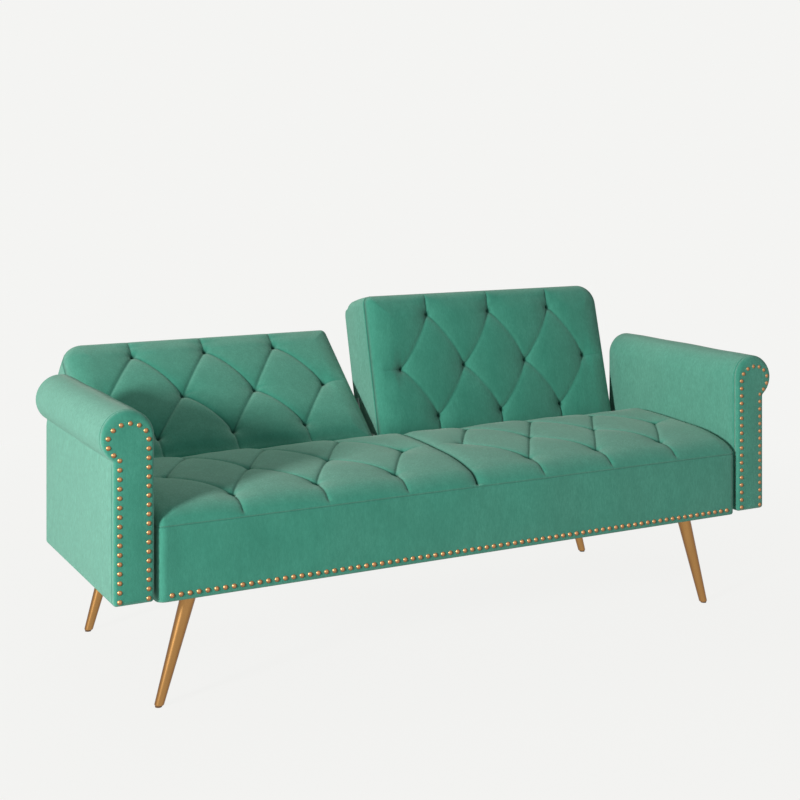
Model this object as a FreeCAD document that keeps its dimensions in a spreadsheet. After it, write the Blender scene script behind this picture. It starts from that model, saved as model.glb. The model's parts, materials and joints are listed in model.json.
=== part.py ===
import FreeCAD, Part
import math
import os
from types import SimpleNamespace

import Sketcher

# Sofa bed: a tufted seat between two rolled arms, and two backs that recline one by one.
# X runs to the right of someone facing the sofa, Y to the back, Z up from the floor.
# Each back is drawn about its hinge line, standing straight, and then tilted into place.

# Driving sizes, in millimetres and degrees
SIZES = {
    "front_y": -446,  # front faces of the arms
    # Arms
    "arm_inner": 778.3,  # middle of the sofa to an arm's inner face
    "arm_thick": 86.7,
    "arm_depth": 558,
    "arm_bottom": 5,  # above the base frame's underside
    "roll_radius": 56,
    "roll_height": 593.5,
    "facing_thick": 14,
    "facing_edge": 6,
    "arm_foam_thick": 10,
    "arm_panel_thick": 18,
    "arm_rail_height": 45,
    "arm_mid_height": 420,
    "roll_rail_radius": 26,
    # Upholstery
    "cover_wall": 2.5,
    "soft_gap": 0.3,
    "nail_radius": 5.5,
    "nail_rise": 3.2,
    "nail_inset": 13,
    "nail_pitch": 19.4,
    "nail_low_inset": 10,
    "nail_arc_rise": 36,
    "nail_arc_drop": 7,
    "fold_depth": 14,  # tufting folds, V-shaped troughs in the seat and the backs
    "fold_half": 30,  # half of a fold's width
    # Seat
    "seat_gap": 7.3,  # seat to each arm
    "seat_depth": 494,
    "seat_top": 452,
    "seat_seam": 50,  # front seam, below the top
    "seat_rear_radius": 30,
    "seat_end_radius": 24,
    "seat_tuft_front": 72,  # front tufts, behind the seat's front
    "seat_tuft_rear": 128,  # rear tufts, ahead of the seat's rear
    "seat_tuft_side": 87,  # outer tufts, from the sides of a seat panel
    # Base frame
    "base_bottom": 247,
    "base_depth": 206,  # behind the seat
    "rail_height": 36,
    "rail_width": 36,
    "side_rail_thick": 30,
    "deck_thick": 4,
    "deck_gap": 2,
    "dust_thick": 1,
    "dust_margin": 10,
    "block_length": 96,
    "block_width": 110,
    # Seat springs
    "spring_wire": 2,
    "spring_lift": 8,
    "spring_half": 24,
    "spring_pitch": 28,
    "spring_spacing": 145,
    "clip_length": 16,
    "clip_width": 30,
    "clip_wall": 1.5,
    "spring_pad_thick": 4,
    # Legs
    "leg_foot_x": 37.3,  # arm's inner face to the middle of a foot
    "leg_front": 90,  # behind the arms' front faces
    "leg_rear": 69,  # ahead of the base frame's rear
    "leg_splay": 16.3,
    "leg_foot_radius": 10,
    "leg_top_radius": 17.5,
    "leg_foot_edge": 2.5,
    "leg_plate_size": 60,
    "leg_plate_thick": 4,
    "leg_screw_offset": 22,
    "glide_radius": 7.5,
    "glide_height": 3,
    # Fasteners
    "screw_radius": 2.5,
    "screw_depth": 25,
    "screw_head_radius": 4.5,
    "screw_head_thick": 2.5,
    "plate_screw_head": 1.2,
    "bolt_radius": 4,
    "bolt_head_radius": 7,
    "bolt_head_thick": 6,
    "bolt_reach": 38,  # into an arm
    "arm_bolt_front": 40.2,  # first bolt, behind the front leg blocks
    "arm_bolt_rear": 30.2,  # last bolt, ahead of the seat's rear rail
    "spacer_radius": 9,
    "bracket_bolt_head": 3,
    "bracket_bolt_pitch": 48,
    "fit": 0.05,  # radial clearance of pins, bolts and screws
    # Hinges
    "pivot_depth": 3,  # seat to the front of an upright back, which sets the hinge line's place
    "pivot_height": 13.5,  # deck to the underside of a flat back, which sets the hinge line's height
    "hinge_gap": 0.2,  # plate screw heads to a side bracket
    "tilt_upright": 14.5,
    "tilt_middle": 50.6,
    "tilt_flat": 90,
    "bracket_thick": 4,
    "bracket_top": 28,
    "bracket_front": 46,
    "bracket_rear": 80,
    "bracket_lap": 33,  # how far a side bracket reaches down the side rail
    "centre_web": 6,
    "centre_flange": 4,
    "centre_half": 45,
    "centre_screw": 30,
    "pin_radius": 6,
    "pin_head_radius": 10,
    "pin_head_thick": 3,
    "plate_thick": 3.5,
    "plate_hub": 22,
    "plate_margin": 5,
    "plate_rise": 15,  # above the top screw
    "plate_screw_low": 45,
    "plate_screw_pitch": 35,
    "ratchet_radius": 46,
    "ratchet_start": -8,
    "ratchet_end": 104,
    "notch_width": 13,
    "notch_depth": 8,
    # Pawls, placed from the hinge line
    "pawl_front": 28,
    "pawl_down": 62,
    "pawl_tooth_shift": 1.3,
    "pawl_eye": 8,
    "pawl_clear": 0.8,
    "pawl_tooth_width": 5,
    "pawl_pin_radius": 4,
    "pawl_pin_head": 2,
    "leaf_thick": 0.8,
    "leaf_length": 28,
    "leaf_tab": 1.2,
    "leaf_drop": 18,
    # Backs, measured from the hinge line
    "split_half": 8.4,
    "back_arm_gap": 15.3,
    "back_front": 48,
    "back_rear": 101.5,
    "back_top": 392,
    "back_bottom": 28,
    "back_edge": 24,
    "back_outer_radius": 57,
    "back_rear_radius": 40,
    "back_tuft_bottom": 82,  # bottom tufts, above a back's bottom
    "back_tuft_middle": 131,  # middle tufts, above the bottom tufts
    "back_tuft_top": 63,  # top tufts, below a back's top
    "back_tuft_side": 79.8,  # outer tufts, from the sides of a back
    "back_frame_front": 62,
    "stile_width": 40,
    "back_rail_height": 45,
    "strap_count": 4,
    "strap_width": 50,
    "strap_thick": 2,
    # Rubber pads on the deck
    "pad_radius": 12,
    "pad_inset": 20,
    "pad_near": 150,
    "pad_far": 600,
    "pad_gap": 0.5,
}

X_AXIS = FreeCAD.Vector(1, 0, 0)
Y_AXIS = FreeCAD.Vector(0, 1, 0)
Z_AXIS = FreeCAD.Vector(0, 0, 1)
SIDES = {"left": -1, "right": 1}
QUARTER_TURN = 90
FULL_TURN = 360
SAME_PLACE = 1e-4
BRACKET_BOLTS = 3
PLATE_SCREWS = 3

doc = FreeCAD.newDocument("SofaBed")
sheet = doc.addObject("Spreadsheet::Sheet", "Sizes")
for row, (alias, number) in enumerate(SIZES.items(), start=1):
    sheet.set(f"A{row}", alias)
    sheet.set(f"B{row}", str(number))
    sheet.setAlias(f"B{row}", alias)
doc.recompute()


class Measure:
    """A size that carries both its number and its formula in the sheet."""

    def __init__(self, value, text):
        self.value = value
        self.text = text

    def __add__(self, other):
        other = measure(other)
        return Measure(self.value + other.value, f"({self.text} + {other.text})")

    def __sub__(self, other):
        other = measure(other)
        return Measure(self.value - other.value, f"({self.text} - {other.text})")

    def __mul__(self, other):
        other = measure(other)
        return Measure(self.value * other.value, f"({self.text} * {other.text})")

    def __truediv__(self, other):
        other = measure(other)
        return Measure(self.value / other.value, f"({self.text} / {other.text})")

    def __radd__(self, other):
        return measure(other) + self

    def __rsub__(self, other):
        return measure(other) - self

    def __rmul__(self, other):
        return measure(other) * self

    def __neg__(self):
        return 0 - self


def measure(number):
    if isinstance(number, Measure):
        return number
    return Measure(number, f"({number})")


def root(area):
    return Measure(math.sqrt(area.value), f"sqrt({area.text})")


def tangent(angle):
    return Measure(math.tan(math.radians(angle.value)), f"tan({angle.text} * 1 deg)")


def arctangent(ratio):
    return Measure(math.degrees(math.atan(ratio.value)), f"(atan({ratio.text}) / 1 deg)")


def cosine(angle):
    return Measure(math.cos(math.radians(angle.value)), f"cos({angle.text} * 1 deg)")


def sine(angle):
    return Measure(math.sin(math.radians(angle.value)), f"sin({angle.text} * 1 deg)")


def least(first, second):
    return Measure(min(first.value, second.value), f"min({first.text}; {second.text})")


def most(first, second):
    return Measure(max(first.value, second.value), f"max({first.text}; {second.text})")


size = SimpleNamespace(**{name: Measure(sheet.get(name), f"Sizes.{name}") for name in SIZES})
nodes = {}


# Helpers


def bind(item, **properties):
    for name, value in properties.items():
        item.setExpression(name, measure(value).text)


def place(item, x=0, y=0, z=0, axis=Z_AXIS, angle=0):
    """Move a piece, and turn it by an angle in degrees about an axis through its own origin."""
    base = [measure(value) for value in (x, y, z)]
    turn = measure(angle)
    corner = FreeCAD.Vector(*[value.value for value in base])
    item.Placement = FreeCAD.Placement(corner, FreeCAD.Rotation(axis, turn.value))
    for letter, value in zip("xyz", base):
        item.setExpression(f"Placement.Base.{letter}", value.text)
    if turn.value:
        item.setExpression("Placement.Rotation.Angle", turn.text)
    return item


def keep(item, node):
    """Make a piece one of the nodes that are written out."""
    item.Label = node
    nodes[node] = item
    return item


def box(name, x, y, z):
    """A block between low and high limits along each axis."""
    item = doc.addObject("Part::Box", name)
    bind(item, Length=x[1] - x[0], Width=y[1] - y[0], Height=z[1] - z[0])
    return place(item, x[0], y[0], z[0])


def rod(name, radius, start, stop, across, axis="z"):
    """A cylinder from start to stop along an axis; across gives the other two places in x, y, z order."""
    item = doc.addObject("Part::Cylinder", name)
    bind(item, Radius=radius, Height=stop - start)
    if axis == "x":
        return place(item, start, across[0], across[1], Y_AXIS, QUARTER_TURN)
    if axis == "y":
        return place(item, across[0], start, across[1], X_AXIS, -QUARTER_TURN)
    return place(item, across[0], across[1], start)


def span(sign, near, far):
    """Limits along X of something between near and far from the middle, on the side that sign gives."""
    if sign > 0:
        return near, far
    return -far, -near


def join(name, pieces):
    item = doc.addObject("Part::MultiFuse", name)
    item.Shapes = pieces
    return item


def group(name, pieces):
    item = doc.addObject("Part::Compound", name)
    item.Links = pieces
    return item


def cut(name, base, tools):
    item = doc.addObject("Part::Cut", name)
    item.Base = base
    item.Tool = tools[0] if len(tools) == 1 else group(name + "_tools", tools)
    return item


def origin_plane(body, role):
    return next(plane for plane in body.Origin.OriginFeatures if plane.Role == role)


def outline(body, role, corners, arcs=None):
    """A closed outline. arcs maps a corner's place in the list to the centre, the radius and the turn
    (1 anticlockwise, -1 clockwise) of the round stretch that leaves it; other stretches are straight."""
    arcs = arcs or {}
    corners = [(measure(x), measure(y)) for x, y in corners]
    sketch = body.newObject("Sketcher::SketchObject", body.Name + "_sketch")
    sketch.AttachmentSupport = [(origin_plane(body, role), "")]
    sketch.MapMode = "FlatFace"
    count = len(corners)
    ends = []
    for index, corner in enumerate(corners):
        here = FreeCAD.Vector(corner[0].value, corner[1].value, 0)
        following = corners[(index + 1) % count]
        there = FreeCAD.Vector(following[0].value, following[1].value, 0)
        if index in arcs:
            centre, radius, turn = arcs[index]
            middle = FreeCAD.Vector(measure(centre[0]).value, measure(centre[1]).value, 0)
            first, last = (here, there) if turn > 0 else (there, here)
            angles = [math.atan2(end.y - middle.y, end.x - middle.x) for end in (first, last)]
            circle = Part.Circle(middle, Z_AXIS, radius.value)
            sketch.addGeometry(Part.ArcOfCircle(circle, *angles), False)
            ends.append((1, 2) if turn > 0 else (2, 1))
            level_chord = abs(there.x - here.x) > abs(there.y - here.y)
            kind, value = ("DistanceY", centre[1]) if level_chord else ("DistanceX", centre[0])
            number = sketch.addConstraint(Sketcher.Constraint(kind, index, 3, measure(value).value))
            sketch.setExpression(f"Constraints[{number}]", measure(value).text)
        else:
            sketch.addGeometry(Part.LineSegment(here, there), False)
            ends.append((1, 2))
    for index, corner in enumerate(corners):
        before = (index - 1) % count
        first = ends[index][0]
        sketch.addConstraint(Sketcher.Constraint("Coincident", before, ends[before][1], index, first))
        for kind, value in zip(("DistanceX", "DistanceY"), corner):
            number = sketch.addConstraint(Sketcher.Constraint(kind, index, first, value.value))
            sketch.setExpression(f"Constraints[{number}]", value.text)
    return sketch


def disc(body, role, radius):
    """A circle about the body's own origin."""
    sketch = body.newObject("Sketcher::SketchObject", body.Name + "_sketch")
    sketch.AttachmentSupport = [(origin_plane(body, role), "")]
    sketch.MapMode = "FlatFace"
    sketch.addGeometry(Part.Circle(FreeCAD.Vector(), Z_AXIS, radius.value), False)
    sketch.addConstraint(Sketcher.Constraint("Coincident", 0, 3, -1, 1))
    number = sketch.addConstraint(Sketcher.Constraint("Radius", 0, radius.value))
    sketch.setExpression(f"Constraints[{number}]", radius.text)
    return sketch


def new_body(name):
    return doc.addObject("PartDesign::Body", name)


def pad(body, sketch, length, other_way=None):
    """Extrude a sketch evenly both ways, or by length along its normal and other_way against it."""
    item = body.newObject("PartDesign::Pad", body.Name + "_pad")
    item.Profile = sketch
    bind(item, Length=length)
    if other_way is None:
        item.SideType = "Symmetric"
    else:
        item.SideType = "Two sides"
        bind(item, Length2=other_way)
    return item


def round_edges(body, base, radius, wanted):
    """Round the edges of a feature whose middle and ends satisfy a test."""
    doc.recompute()
    names = []
    for number, edge in enumerate(base.Shape.Edges, start=1):
        middle = edge.valueAt((edge.FirstParameter + edge.LastParameter) / 2)
        if wanted(middle, [vertex.Point for vertex in edge.Vertexes]):
            names.append(f"Edge{number}")
    item = body.newObject("PartDesign::Fillet", body.Name + "_round")
    item.Base = (base, names)
    bind(item, Radius=radius)
    return item


def near(first, second):
    return abs(first - measure(second).value) < SAME_PLACE


def fold(name, across, along, length, angle=0):
    """A trough with sloping ends for a fold in a panel that faces -Y, from a place along a direction."""
    item = doc.addObject("Part::Wedge", name)
    half = 2 * size.fold_half
    bind(item, Xmin=-half, Xmax=half, X2min=0, X2max=0)
    bind(item, Ymin=-size.fold_depth, Ymax=size.fold_depth)
    bind(item, Zmin=-half, Zmax=length + half, Z2min=0, Z2max=length)
    return place(item, across, 0, along, Y_AXIS, angle)


def panel_folds(name, centre, pitch, rows, ends):
    """Folds between a panel's tufts, in rows of three, four and three, and on from the outer rows."""
    low, middle, high = rows
    folds = []
    for start, stop in ((low, middle), (middle, high)):
        rise = stop - start
        length = root(pitch * pitch / 4 + rise * rise)
        lean = arctangent(pitch / 2 / rise)
        for step in (-1, 0, 1):
            for way in (-1, 1):
                shift = step if start is low else step + way / 2
                turn = way * lean if start is low else -way * lean
                folds.append(fold(name, centre + shift * pitch, start, length, turn))
    for step in (-1, 0, 1):
        folds.append(fold(name, centre + step * pitch, ends[0], low - ends[0]))
        folds.append(fold(name, centre + step * pitch, high, ends[1] - high))
    return folds


def fold_drop(inset):
    """How far the folds move into a panel so that a layer of that thickness is left over them."""
    slope = root(size.fold_half * size.fold_half + size.fold_depth * size.fold_depth) / size.fold_half
    return inset * slope


# Places that several pieces share

seat_half = size.arm_inner - size.seat_gap
side_out = seat_half - size.cover_wall - size.soft_gap
side_in = side_out - size.side_rail_thick
rail_top = size.base_bottom + size.rail_height
deck_top = rail_top + size.deck_thick
base_front = size.front_y + size.cover_wall + size.soft_gap
front_rail_back = base_front + size.rail_width
seat_rear = size.front_y + size.seat_depth
base_rear = seat_rear + size.base_depth
seat_rail_rear = seat_rear - size.cover_wall - size.soft_gap
seat_rail_front = seat_rail_rear - size.rail_width
rear_rail_front = base_rear - size.rail_width
rail_heights = (size.base_bottom, rail_top)
spring_height = rail_top + size.spring_lift
clip_top = spring_height + size.spring_wire + size.clip_wall
pad_bottom = clip_top + size.soft_gap
foam_bottom = pad_bottom + size.spring_pad_thick + size.soft_gap
seam_z = size.seat_top - size.seat_seam
arm_rear = size.front_y + size.arm_depth
arm_low = size.base_bottom + size.arm_bottom
arm_bolt_z = size.base_bottom + size.rail_height / 2
pivot_y = seat_rear + size.pivot_depth + size.back_front
pivot_z = deck_top + size.pivot_height + size.back_rear
back_out = size.arm_inner - size.back_arm_gap
frame_inset = size.cover_wall + 2 * size.soft_gap + size.arm_foam_thick
foam_inset = size.cover_wall + size.soft_gap
foot_x = size.arm_inner - size.leg_foot_x
leg_plate_x = foot_x - size.base_bottom * tangent(size.leg_splay)
leg_places = {
    f"{end}_{side}": (sign, leg_y)
    for end, leg_y in (("front", size.front_y + size.leg_front), ("rear", base_rear - size.leg_rear))
    for side, sign in SIDES.items()
}
first_arm_bolt = front_rail_back + size.block_length + size.arm_bolt_front
last_arm_bolt = seat_rail_front - size.arm_bolt_rear
arm_bolt_places = [first_arm_bolt, (first_arm_bolt + last_arm_bolt) / 2, last_arm_bolt]


# Base frame


def side_rail(side, sign):
    """A side rail, with its front outer corner rounded to lie inside the seat cover."""
    body = new_body(f"{side}_rail_body")
    low, high = span(sign, side_in, side_out)
    corners = [(low, base_front), (high, base_front), (high, base_rear), (low, base_rear)]
    block = pad(body, outline(body, "XY_Plane", corners), size.rail_height)
    outer = sign * side_out.value
    round_edges(
        body,
        block,
        size.seat_end_radius - foam_inset,
        lambda middle, ends: near(middle.x, outer) and near(middle.y, base_front),
    )
    place(body, z=size.base_bottom + size.rail_height / 2)
    drills = [
        rod(f"{side}_rail_drill", size.bolt_radius + size.fit, low, high, (y, arm_bolt_z), "x")
        for y in arm_bolt_places + bracket_bolt_places
    ]
    keep(cut(f"{side}_rail_cut", body, drills), f"{side}_side_rail")


def cross_rails():
    across = (-side_in, side_in)
    keep(box("front_rail_box", across, (base_front, front_rail_back), rail_heights), "front_rail")
    keep(box("seat_rail_box", across, (seat_rail_front, seat_rail_rear), rail_heights), "seat_rear_rail")
    keep(box("rear_rail_box", across, (rear_rail_front, base_rear), rail_heights), "rear_rail")
    middle = (-size.rail_width / 2, size.rail_width / 2)
    between = (front_rail_back, seat_rail_front)
    keep(box("centre_front_box", middle, between, rail_heights), "centre_front_rail")
    rear = box("centre_rear_box", middle, (seat_rail_rear, rear_rail_front), rail_heights)
    holes = [
        rod("centre_tap", size.screw_radius + size.fit, rail_top - size.screw_depth, rail_top, place_xy)
        for place_xy in centre_screw_places
    ]
    keep(cut("centre_rear_cut", rear, holes), "centre_rear_rail")


def leg_blocks():
    """Timber blocks in the corners of the frame, which the leg plates are screwed to."""
    blocks = []
    for name, (sign, leg_y) in leg_places.items():
        if name.startswith("front"):
            along = (front_rail_back, front_rail_back + size.block_length)
        else:
            along = (rear_rail_front - size.block_length, rear_rail_front)
        block = box(f"{name}_block", span(sign, side_in - size.block_width, side_in), along, rail_heights)
        holes = [
            rod(
                f"{name}_block_hole",
                size.screw_radius + size.fit,
                size.base_bottom,
                size.base_bottom + size.screw_depth,
                spot,
            )
            for spot in leg_screw_places(sign, leg_y)
        ]
        blocks.append(cut(f"{name}_block_cut", block, holes))
    keep(group("leg_block_group", blocks), "leg_blocks")


def deck():
    """Board over the rear of the frame, below the backs, with rubber pads that a flat back rests on."""
    board = box(
        "deck_box",
        (-side_out, side_out),
        (seat_rear + size.deck_gap, base_rear),
        (rail_top, deck_top),
    )
    holes = [
        rod("deck_hole", size.screw_radius + size.fit, rail_top, deck_top, place_xy)
        for place_xy in centre_screw_places
    ]
    keep(cut("deck_cut", board, holes), "rear_deck")
    pad_top = deck_top + size.pivot_height - size.pad_gap
    pads = [
        rod("rest_pad", size.pad_radius, deck_top, pad_top, (sign * out, base_rear - size.pad_inset))
        for sign in SIDES.values()
        for out in (size.pad_near, size.pad_far)
    ]
    keep(group("rest_pad_group", pads), "rest_pads")


def dust_cover():
    """Thin cloth below the frame, cut out round the leg plates."""
    sheet_box = box(
        "dust_box",
        (size.dust_margin - side_out, side_out - size.dust_margin),
        (base_front + size.dust_margin, base_rear - size.dust_margin),
        (size.base_bottom - size.dust_thick, size.base_bottom),
    )
    half = size.leg_plate_size / 2 + size.soft_gap
    windows = [
        box(
            f"{name}_window",
            span(sign, leg_plate_x - half, leg_plate_x + half),
            (leg_y - half, leg_y + half),
            (size.base_bottom - size.leg_plate_thick, size.base_bottom + size.dust_thick),
        )
        for name, (sign, leg_y) in leg_places.items()
    ]
    keep(cut("dust_cut", sheet_box, windows), "dust_cover")


# Legs


def leg_screw_places(sign, leg_y):
    return [
        (sign * leg_plate_x + step_x * size.leg_screw_offset, leg_y + step_y * size.leg_screw_offset)
        for step_x in (-1, 1)
        for step_y in (-1, 1)
    ]


def leg(name, sign, leg_y):
    """A tapered, splayed leg, cut level at both ends, with its plate welded on."""
    plate_bottom = size.base_bottom - size.leg_plate_thick
    spare = size.leg_plate_size  # cone left over above the plate
    length = size.base_bottom / cosine(size.leg_splay)
    slope = (size.leg_top_radius - size.leg_foot_radius) / length
    cone = doc.addObject("Part::Cone", f"{name}_cone")
    bind(
        cone,
        Radius1=size.leg_foot_radius - slope * spare,
        Radius2=size.leg_top_radius + slope * spare,
        Height=length + 2 * spare,
    )
    cone_x = foot_x + spare * sine(size.leg_splay)
    place(cone, sign * cone_x, leg_y, -spare * cosine(size.leg_splay), Y_AXIS, -sign * size.leg_splay)
    slab = box(
        f"{name}_slab",
        span(sign, leg_plate_x - spare, foot_x + spare),
        (leg_y - spare, leg_y + spare),
        (size.glide_height, plate_bottom),
    )
    level = doc.addObject("Part::Common", f"{name}_level")
    level.Base = cone
    level.Tool = slab
    doc.recompute()
    rounded = doc.addObject("Part::Fillet", f"{name}_rounded")
    rounded.Base = level
    edge_radius = size.leg_foot_edge.value
    rounded.Edges = [
        (number, edge_radius, edge_radius)
        for number, edge in enumerate(level.Shape.Edges, start=1)
        if near(edge.BoundBox.ZMax, size.glide_height)
    ]
    half = size.leg_plate_size / 2
    middle = sign * leg_plate_x
    plate = box(
        f"{name}_plate",
        (middle - half, middle + half),
        (leg_y - half, leg_y + half),
        (plate_bottom, size.base_bottom),
    )
    holes = [
        rod(f"{name}_hole", size.screw_radius + size.fit, plate_bottom, size.base_bottom, spot)
        for spot in leg_screw_places(sign, leg_y)
    ]
    welded = join(f"{name}_welded", [rounded, cut(f"{name}_plate_cut", plate, holes)])
    keep(welded, f"{name}_leg")


def leg_fittings():
    screws = []
    glides = []
    plate_bottom = size.base_bottom - size.leg_plate_thick
    for name, (sign, leg_y) in leg_places.items():
        for spot in leg_screw_places(sign, leg_y):
            tip = size.base_bottom + size.screw_depth
            shank = rod(f"{name}_shank", size.screw_radius, plate_bottom, tip, spot)
            head_low = plate_bottom - size.screw_head_thick
            head = rod(f"{name}_head", size.screw_head_radius, head_low, plate_bottom, spot)
            screws.append(join(f"{name}_screw", [shank, head]))
        foot = (sign * foot_x, leg_y)
        glides.append(rod(f"{name}_glide", size.glide_radius, 0, size.glide_height, foot))
    keep(group("leg_screw_group", screws), "leg_screws")
    keep(group("glide_group", glides), "foot_glides")


# Seat


def seat_solid(name, inset, bottom):
    """The seat's rounded block, drawn inwards by inset, down to a given height."""
    body = new_body(name)
    front = size.front_y + inset
    top = size.seat_top - inset
    rear = seat_rear - inset
    crown_end = size.front_y + size.seat_seam
    fall = size.seat_rear_radius
    corners = [
        (front, bottom),
        (front, seam_z),
        (crown_end, top),
        (seat_rear - fall, top),
        (rear, size.seat_top - fall),
        (rear, bottom),
    ]
    arcs = {
        1: ((crown_end, seam_z), size.seat_seam - inset, -1),
        3: ((seat_rear - fall, size.seat_top - fall), fall - inset, -1),
    }
    half = seat_half - inset
    block = pad(body, outline(body, "YZ_Plane", corners, arcs), 2 * half)
    round_edges(
        body,
        block,
        size.seat_end_radius - inset,
        lambda middle, ends: near(abs(middle.x), half) and not near(middle.z, bottom),
    )
    return body


def seat_folds():
    """The folds of both panels of the seat and the valley of its centre seam, in the seat's top."""
    pitch = (seat_half - 2 * size.seat_tuft_side) / 3
    front = size.seat_tuft_front
    rear = size.seat_depth - size.seat_tuft_rear
    rows = (front, (front + rear) / 2, rear)
    folds = [fold("seat_centre_fold", 0, 0, size.seat_depth)]
    for side, sign in SIDES.items():
        folds += panel_folds(f"{side}_seat_fold", sign * seat_half / 2, pitch, rows, (0, size.seat_depth))
    return place(join("seat_folds", folds), 0, size.front_y, size.seat_top, X_AXIS, -QUARTER_TURN)


def tufted_seat(name, folds, inset, bottom):
    """The seat's block with its folds, drawn inwards by inset."""
    lowered = place(group(name + "_folds", [folds]), 0, 0, -fold_drop(inset))
    return cut(name + "_tufted", seat_solid(name, inset, bottom), [lowered])


def seat_cover(folds):
    outer = tufted_seat("seat_outer", folds, measure(0), size.base_bottom)
    inner = tufted_seat("seat_inner", folds, size.cover_wall, size.base_bottom)
    rear_way = box(
        "seat_rear_way",
        (-side_out - size.soft_gap, side_out + size.soft_gap),
        (seat_rear - size.seat_end_radius, seat_rear + size.deck_gap),
        (size.base_bottom, rail_top + size.soft_gap),
    )
    ports = [
        rod(
            f"{side}_port",
            size.spacer_radius + size.soft_gap,
            *span(sign, side_out, size.arm_inner),
            (y, arm_bolt_z),
            "x",
        )
        for side, sign in SIDES.items()
        for y in arm_bolt_places
    ]
    hollow = cut("seat_hollow", outer, [inner])
    opened = cut("seat_opened", hollow, [rear_way])
    keep(cut("seat_ported", opened, ports), "seat_cover")


def zigzag(start_y, stop_y, middle_x, height):
    """A flat zigzag spring of round wire, with straight runs along X joined by half turns."""
    runs = max(2, round((stop_y - start_y) / size.spring_pitch.value))
    step = (stop_y - start_y) / runs
    half = size.spring_half.value
    edges = []
    for run in range(runs + 1):
        y = start_y + run * step
        way = 1 if run % 2 == 0 else -1
        first = FreeCAD.Vector(middle_x - way * half, y, height)
        last = FreeCAD.Vector(middle_x + way * half, y, height)
        edges.append(Part.LineSegment(first, last).toShape())
        if run < runs:
            bend = last + FreeCAD.Vector(way * step / 2, step / 2, 0)
            edges.append(Part.Arc(last, bend, last + FreeCAD.Vector(0, step, 0)).toShape())
    first = FreeCAD.Vector(middle_x - half, start_y, height)
    circle = Part.Wire(Part.Circle(first, X_AXIS, size.spring_wire.value).toShape())
    return Part.Wire(edges).makePipeShell([circle], True, False)


def seat_springs():
    """Zigzag springs from the front rail to the seat's rear rail, held in clips."""
    reach = (side_in - size.spring_half - size.spring_pitch / 2).value
    count = int(2 * reach // size.spring_spacing.value) + 1
    first_x = -(count - 1) / 2 * size.spring_spacing.value
    front = (base_front + size.rail_width / 2).value
    rear = (seat_rail_rear - size.rail_width / 2).value
    half_length = size.clip_length.value / 2
    half_width = size.clip_width.value / 2
    bore = size.spring_wire.value + size.fit.value
    springs = []
    clips = []
    for number in range(count):
        x = first_x + number * size.spring_spacing.value
        springs.append(zigzag(front, rear, x, spring_height.value))
        for y in (front, rear):
            corner = FreeCAD.Vector(x - half_width, y - half_length, rail_top.value)
            clip = Part.makeBox(2 * half_width, 2 * half_length, (clip_top - rail_top).value, corner)
            hole_start = FreeCAD.Vector(x - half_width, y, spring_height.value)
            clips.append(clip.cut(Part.makeCylinder(bore, 2 * half_width, hole_start, X_AXIS)))
    for node, shapes in (("seat_springs", springs), ("spring_clips", clips)):
        item = doc.addObject("Part::Feature", node + "_feature")
        item.Shape = Part.makeCompound(shapes)
        item.Placement = FreeCAD.Placement()
        keep(item, node)


def seat_filling(folds):
    across = (-side_in, side_in)
    along = (base_front + size.rail_width / 2, seat_rail_rear - size.rail_width / 2)
    keep(box("spring_pad_box", across, along, (pad_bottom, pad_bottom + size.spring_pad_thick)), "spring_pad")
    keep(tufted_seat("seat_foam_body", folds, foam_inset, foam_bottom), "seat_foam")


# Nails


def nail(x, z):
    """A domed nail head standing on the front plane of the sofa."""
    radius = size.nail_radius.value
    rise = size.nail_rise.value
    ball = (radius ** 2 + rise ** 2) / (2 * rise)
    start = math.degrees(math.asin((ball - rise) / ball))
    centre = FreeCAD.Vector(x, size.front_y.value + ball - rise, z)
    return Part.makeSphere(ball, centre, -Y_AXIS, start, QUARTER_TURN, FULL_TURN)


def nail_row(node, points):
    item = doc.addObject("Part::Feature", node + "_feature")
    item.Shape = Part.makeCompound([nail(x, z) for x, z in points])
    item.Placement = FreeCAD.Placement()
    keep(item, node)


def seat_nails():
    reach = (seat_half - size.seat_end_radius - size.nail_radius).value
    count = int(2 * reach // size.nail_pitch.value)
    z = (size.base_bottom + size.nail_inset).value
    nail_row("seat_nails", [(-reach + 2 * reach * step / count, z) for step in range(count + 1)])


def spaced(path, pitch):
    """Places from end to end of a path of straight runs, evenly spaced by the pitch at most."""
    travelled = [0.0]
    for (x0, z0), (x1, z1) in zip(path, path[1:]):
        travelled.append(travelled[-1] + math.hypot(x1 - x0, z1 - z0))
    count = math.ceil(travelled[-1] / pitch)
    places = []
    for step in range(count + 1):
        goal = travelled[-1] * step / count
        run = next(k for k in range(len(path) - 1) if travelled[k + 1] >= goal - 1e-9)
        share = (goal - travelled[run]) / (travelled[run + 1] - travelled[run])
        (x0, z0), (x1, z1) = path[run], path[run + 1]
        places.append((x0 + (x1 - x0) * share, z0 + (z1 - z0) * share))
    return places


def arm_nails(side, sign):
    """Nails up the inner edge of an arm's facing, over its roll in a flat arc and down the outer edge."""
    inset = size.nail_inset.value
    low = (arm_low + size.nail_low_inset).value
    inner = size.arm_inner.value + inset
    outer = (size.arm_inner + size.arm_thick).value - inset
    centre_x = (size.arm_inner + size.roll_radius).value
    centre_z = (size.roll_height - size.nail_arc_drop).value
    reach = size.roll_radius.value - inset
    rise = size.nail_arc_rise.value
    end_angle = -math.acos((outer - centre_x) / reach)
    turns = 200
    path = [(inner, low)]
    for turn in range(turns + 1):
        angle = math.pi + (end_angle - math.pi) * turn / turns
        path.append((centre_x + reach * math.cos(angle), centre_z + rise * math.sin(angle)))
    path.append((outer, low))
    nail_row(f"{side}_arm_nails", [(sign * x, z) for x, z in spaced(path, size.nail_pitch.value)])


# Arms


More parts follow.
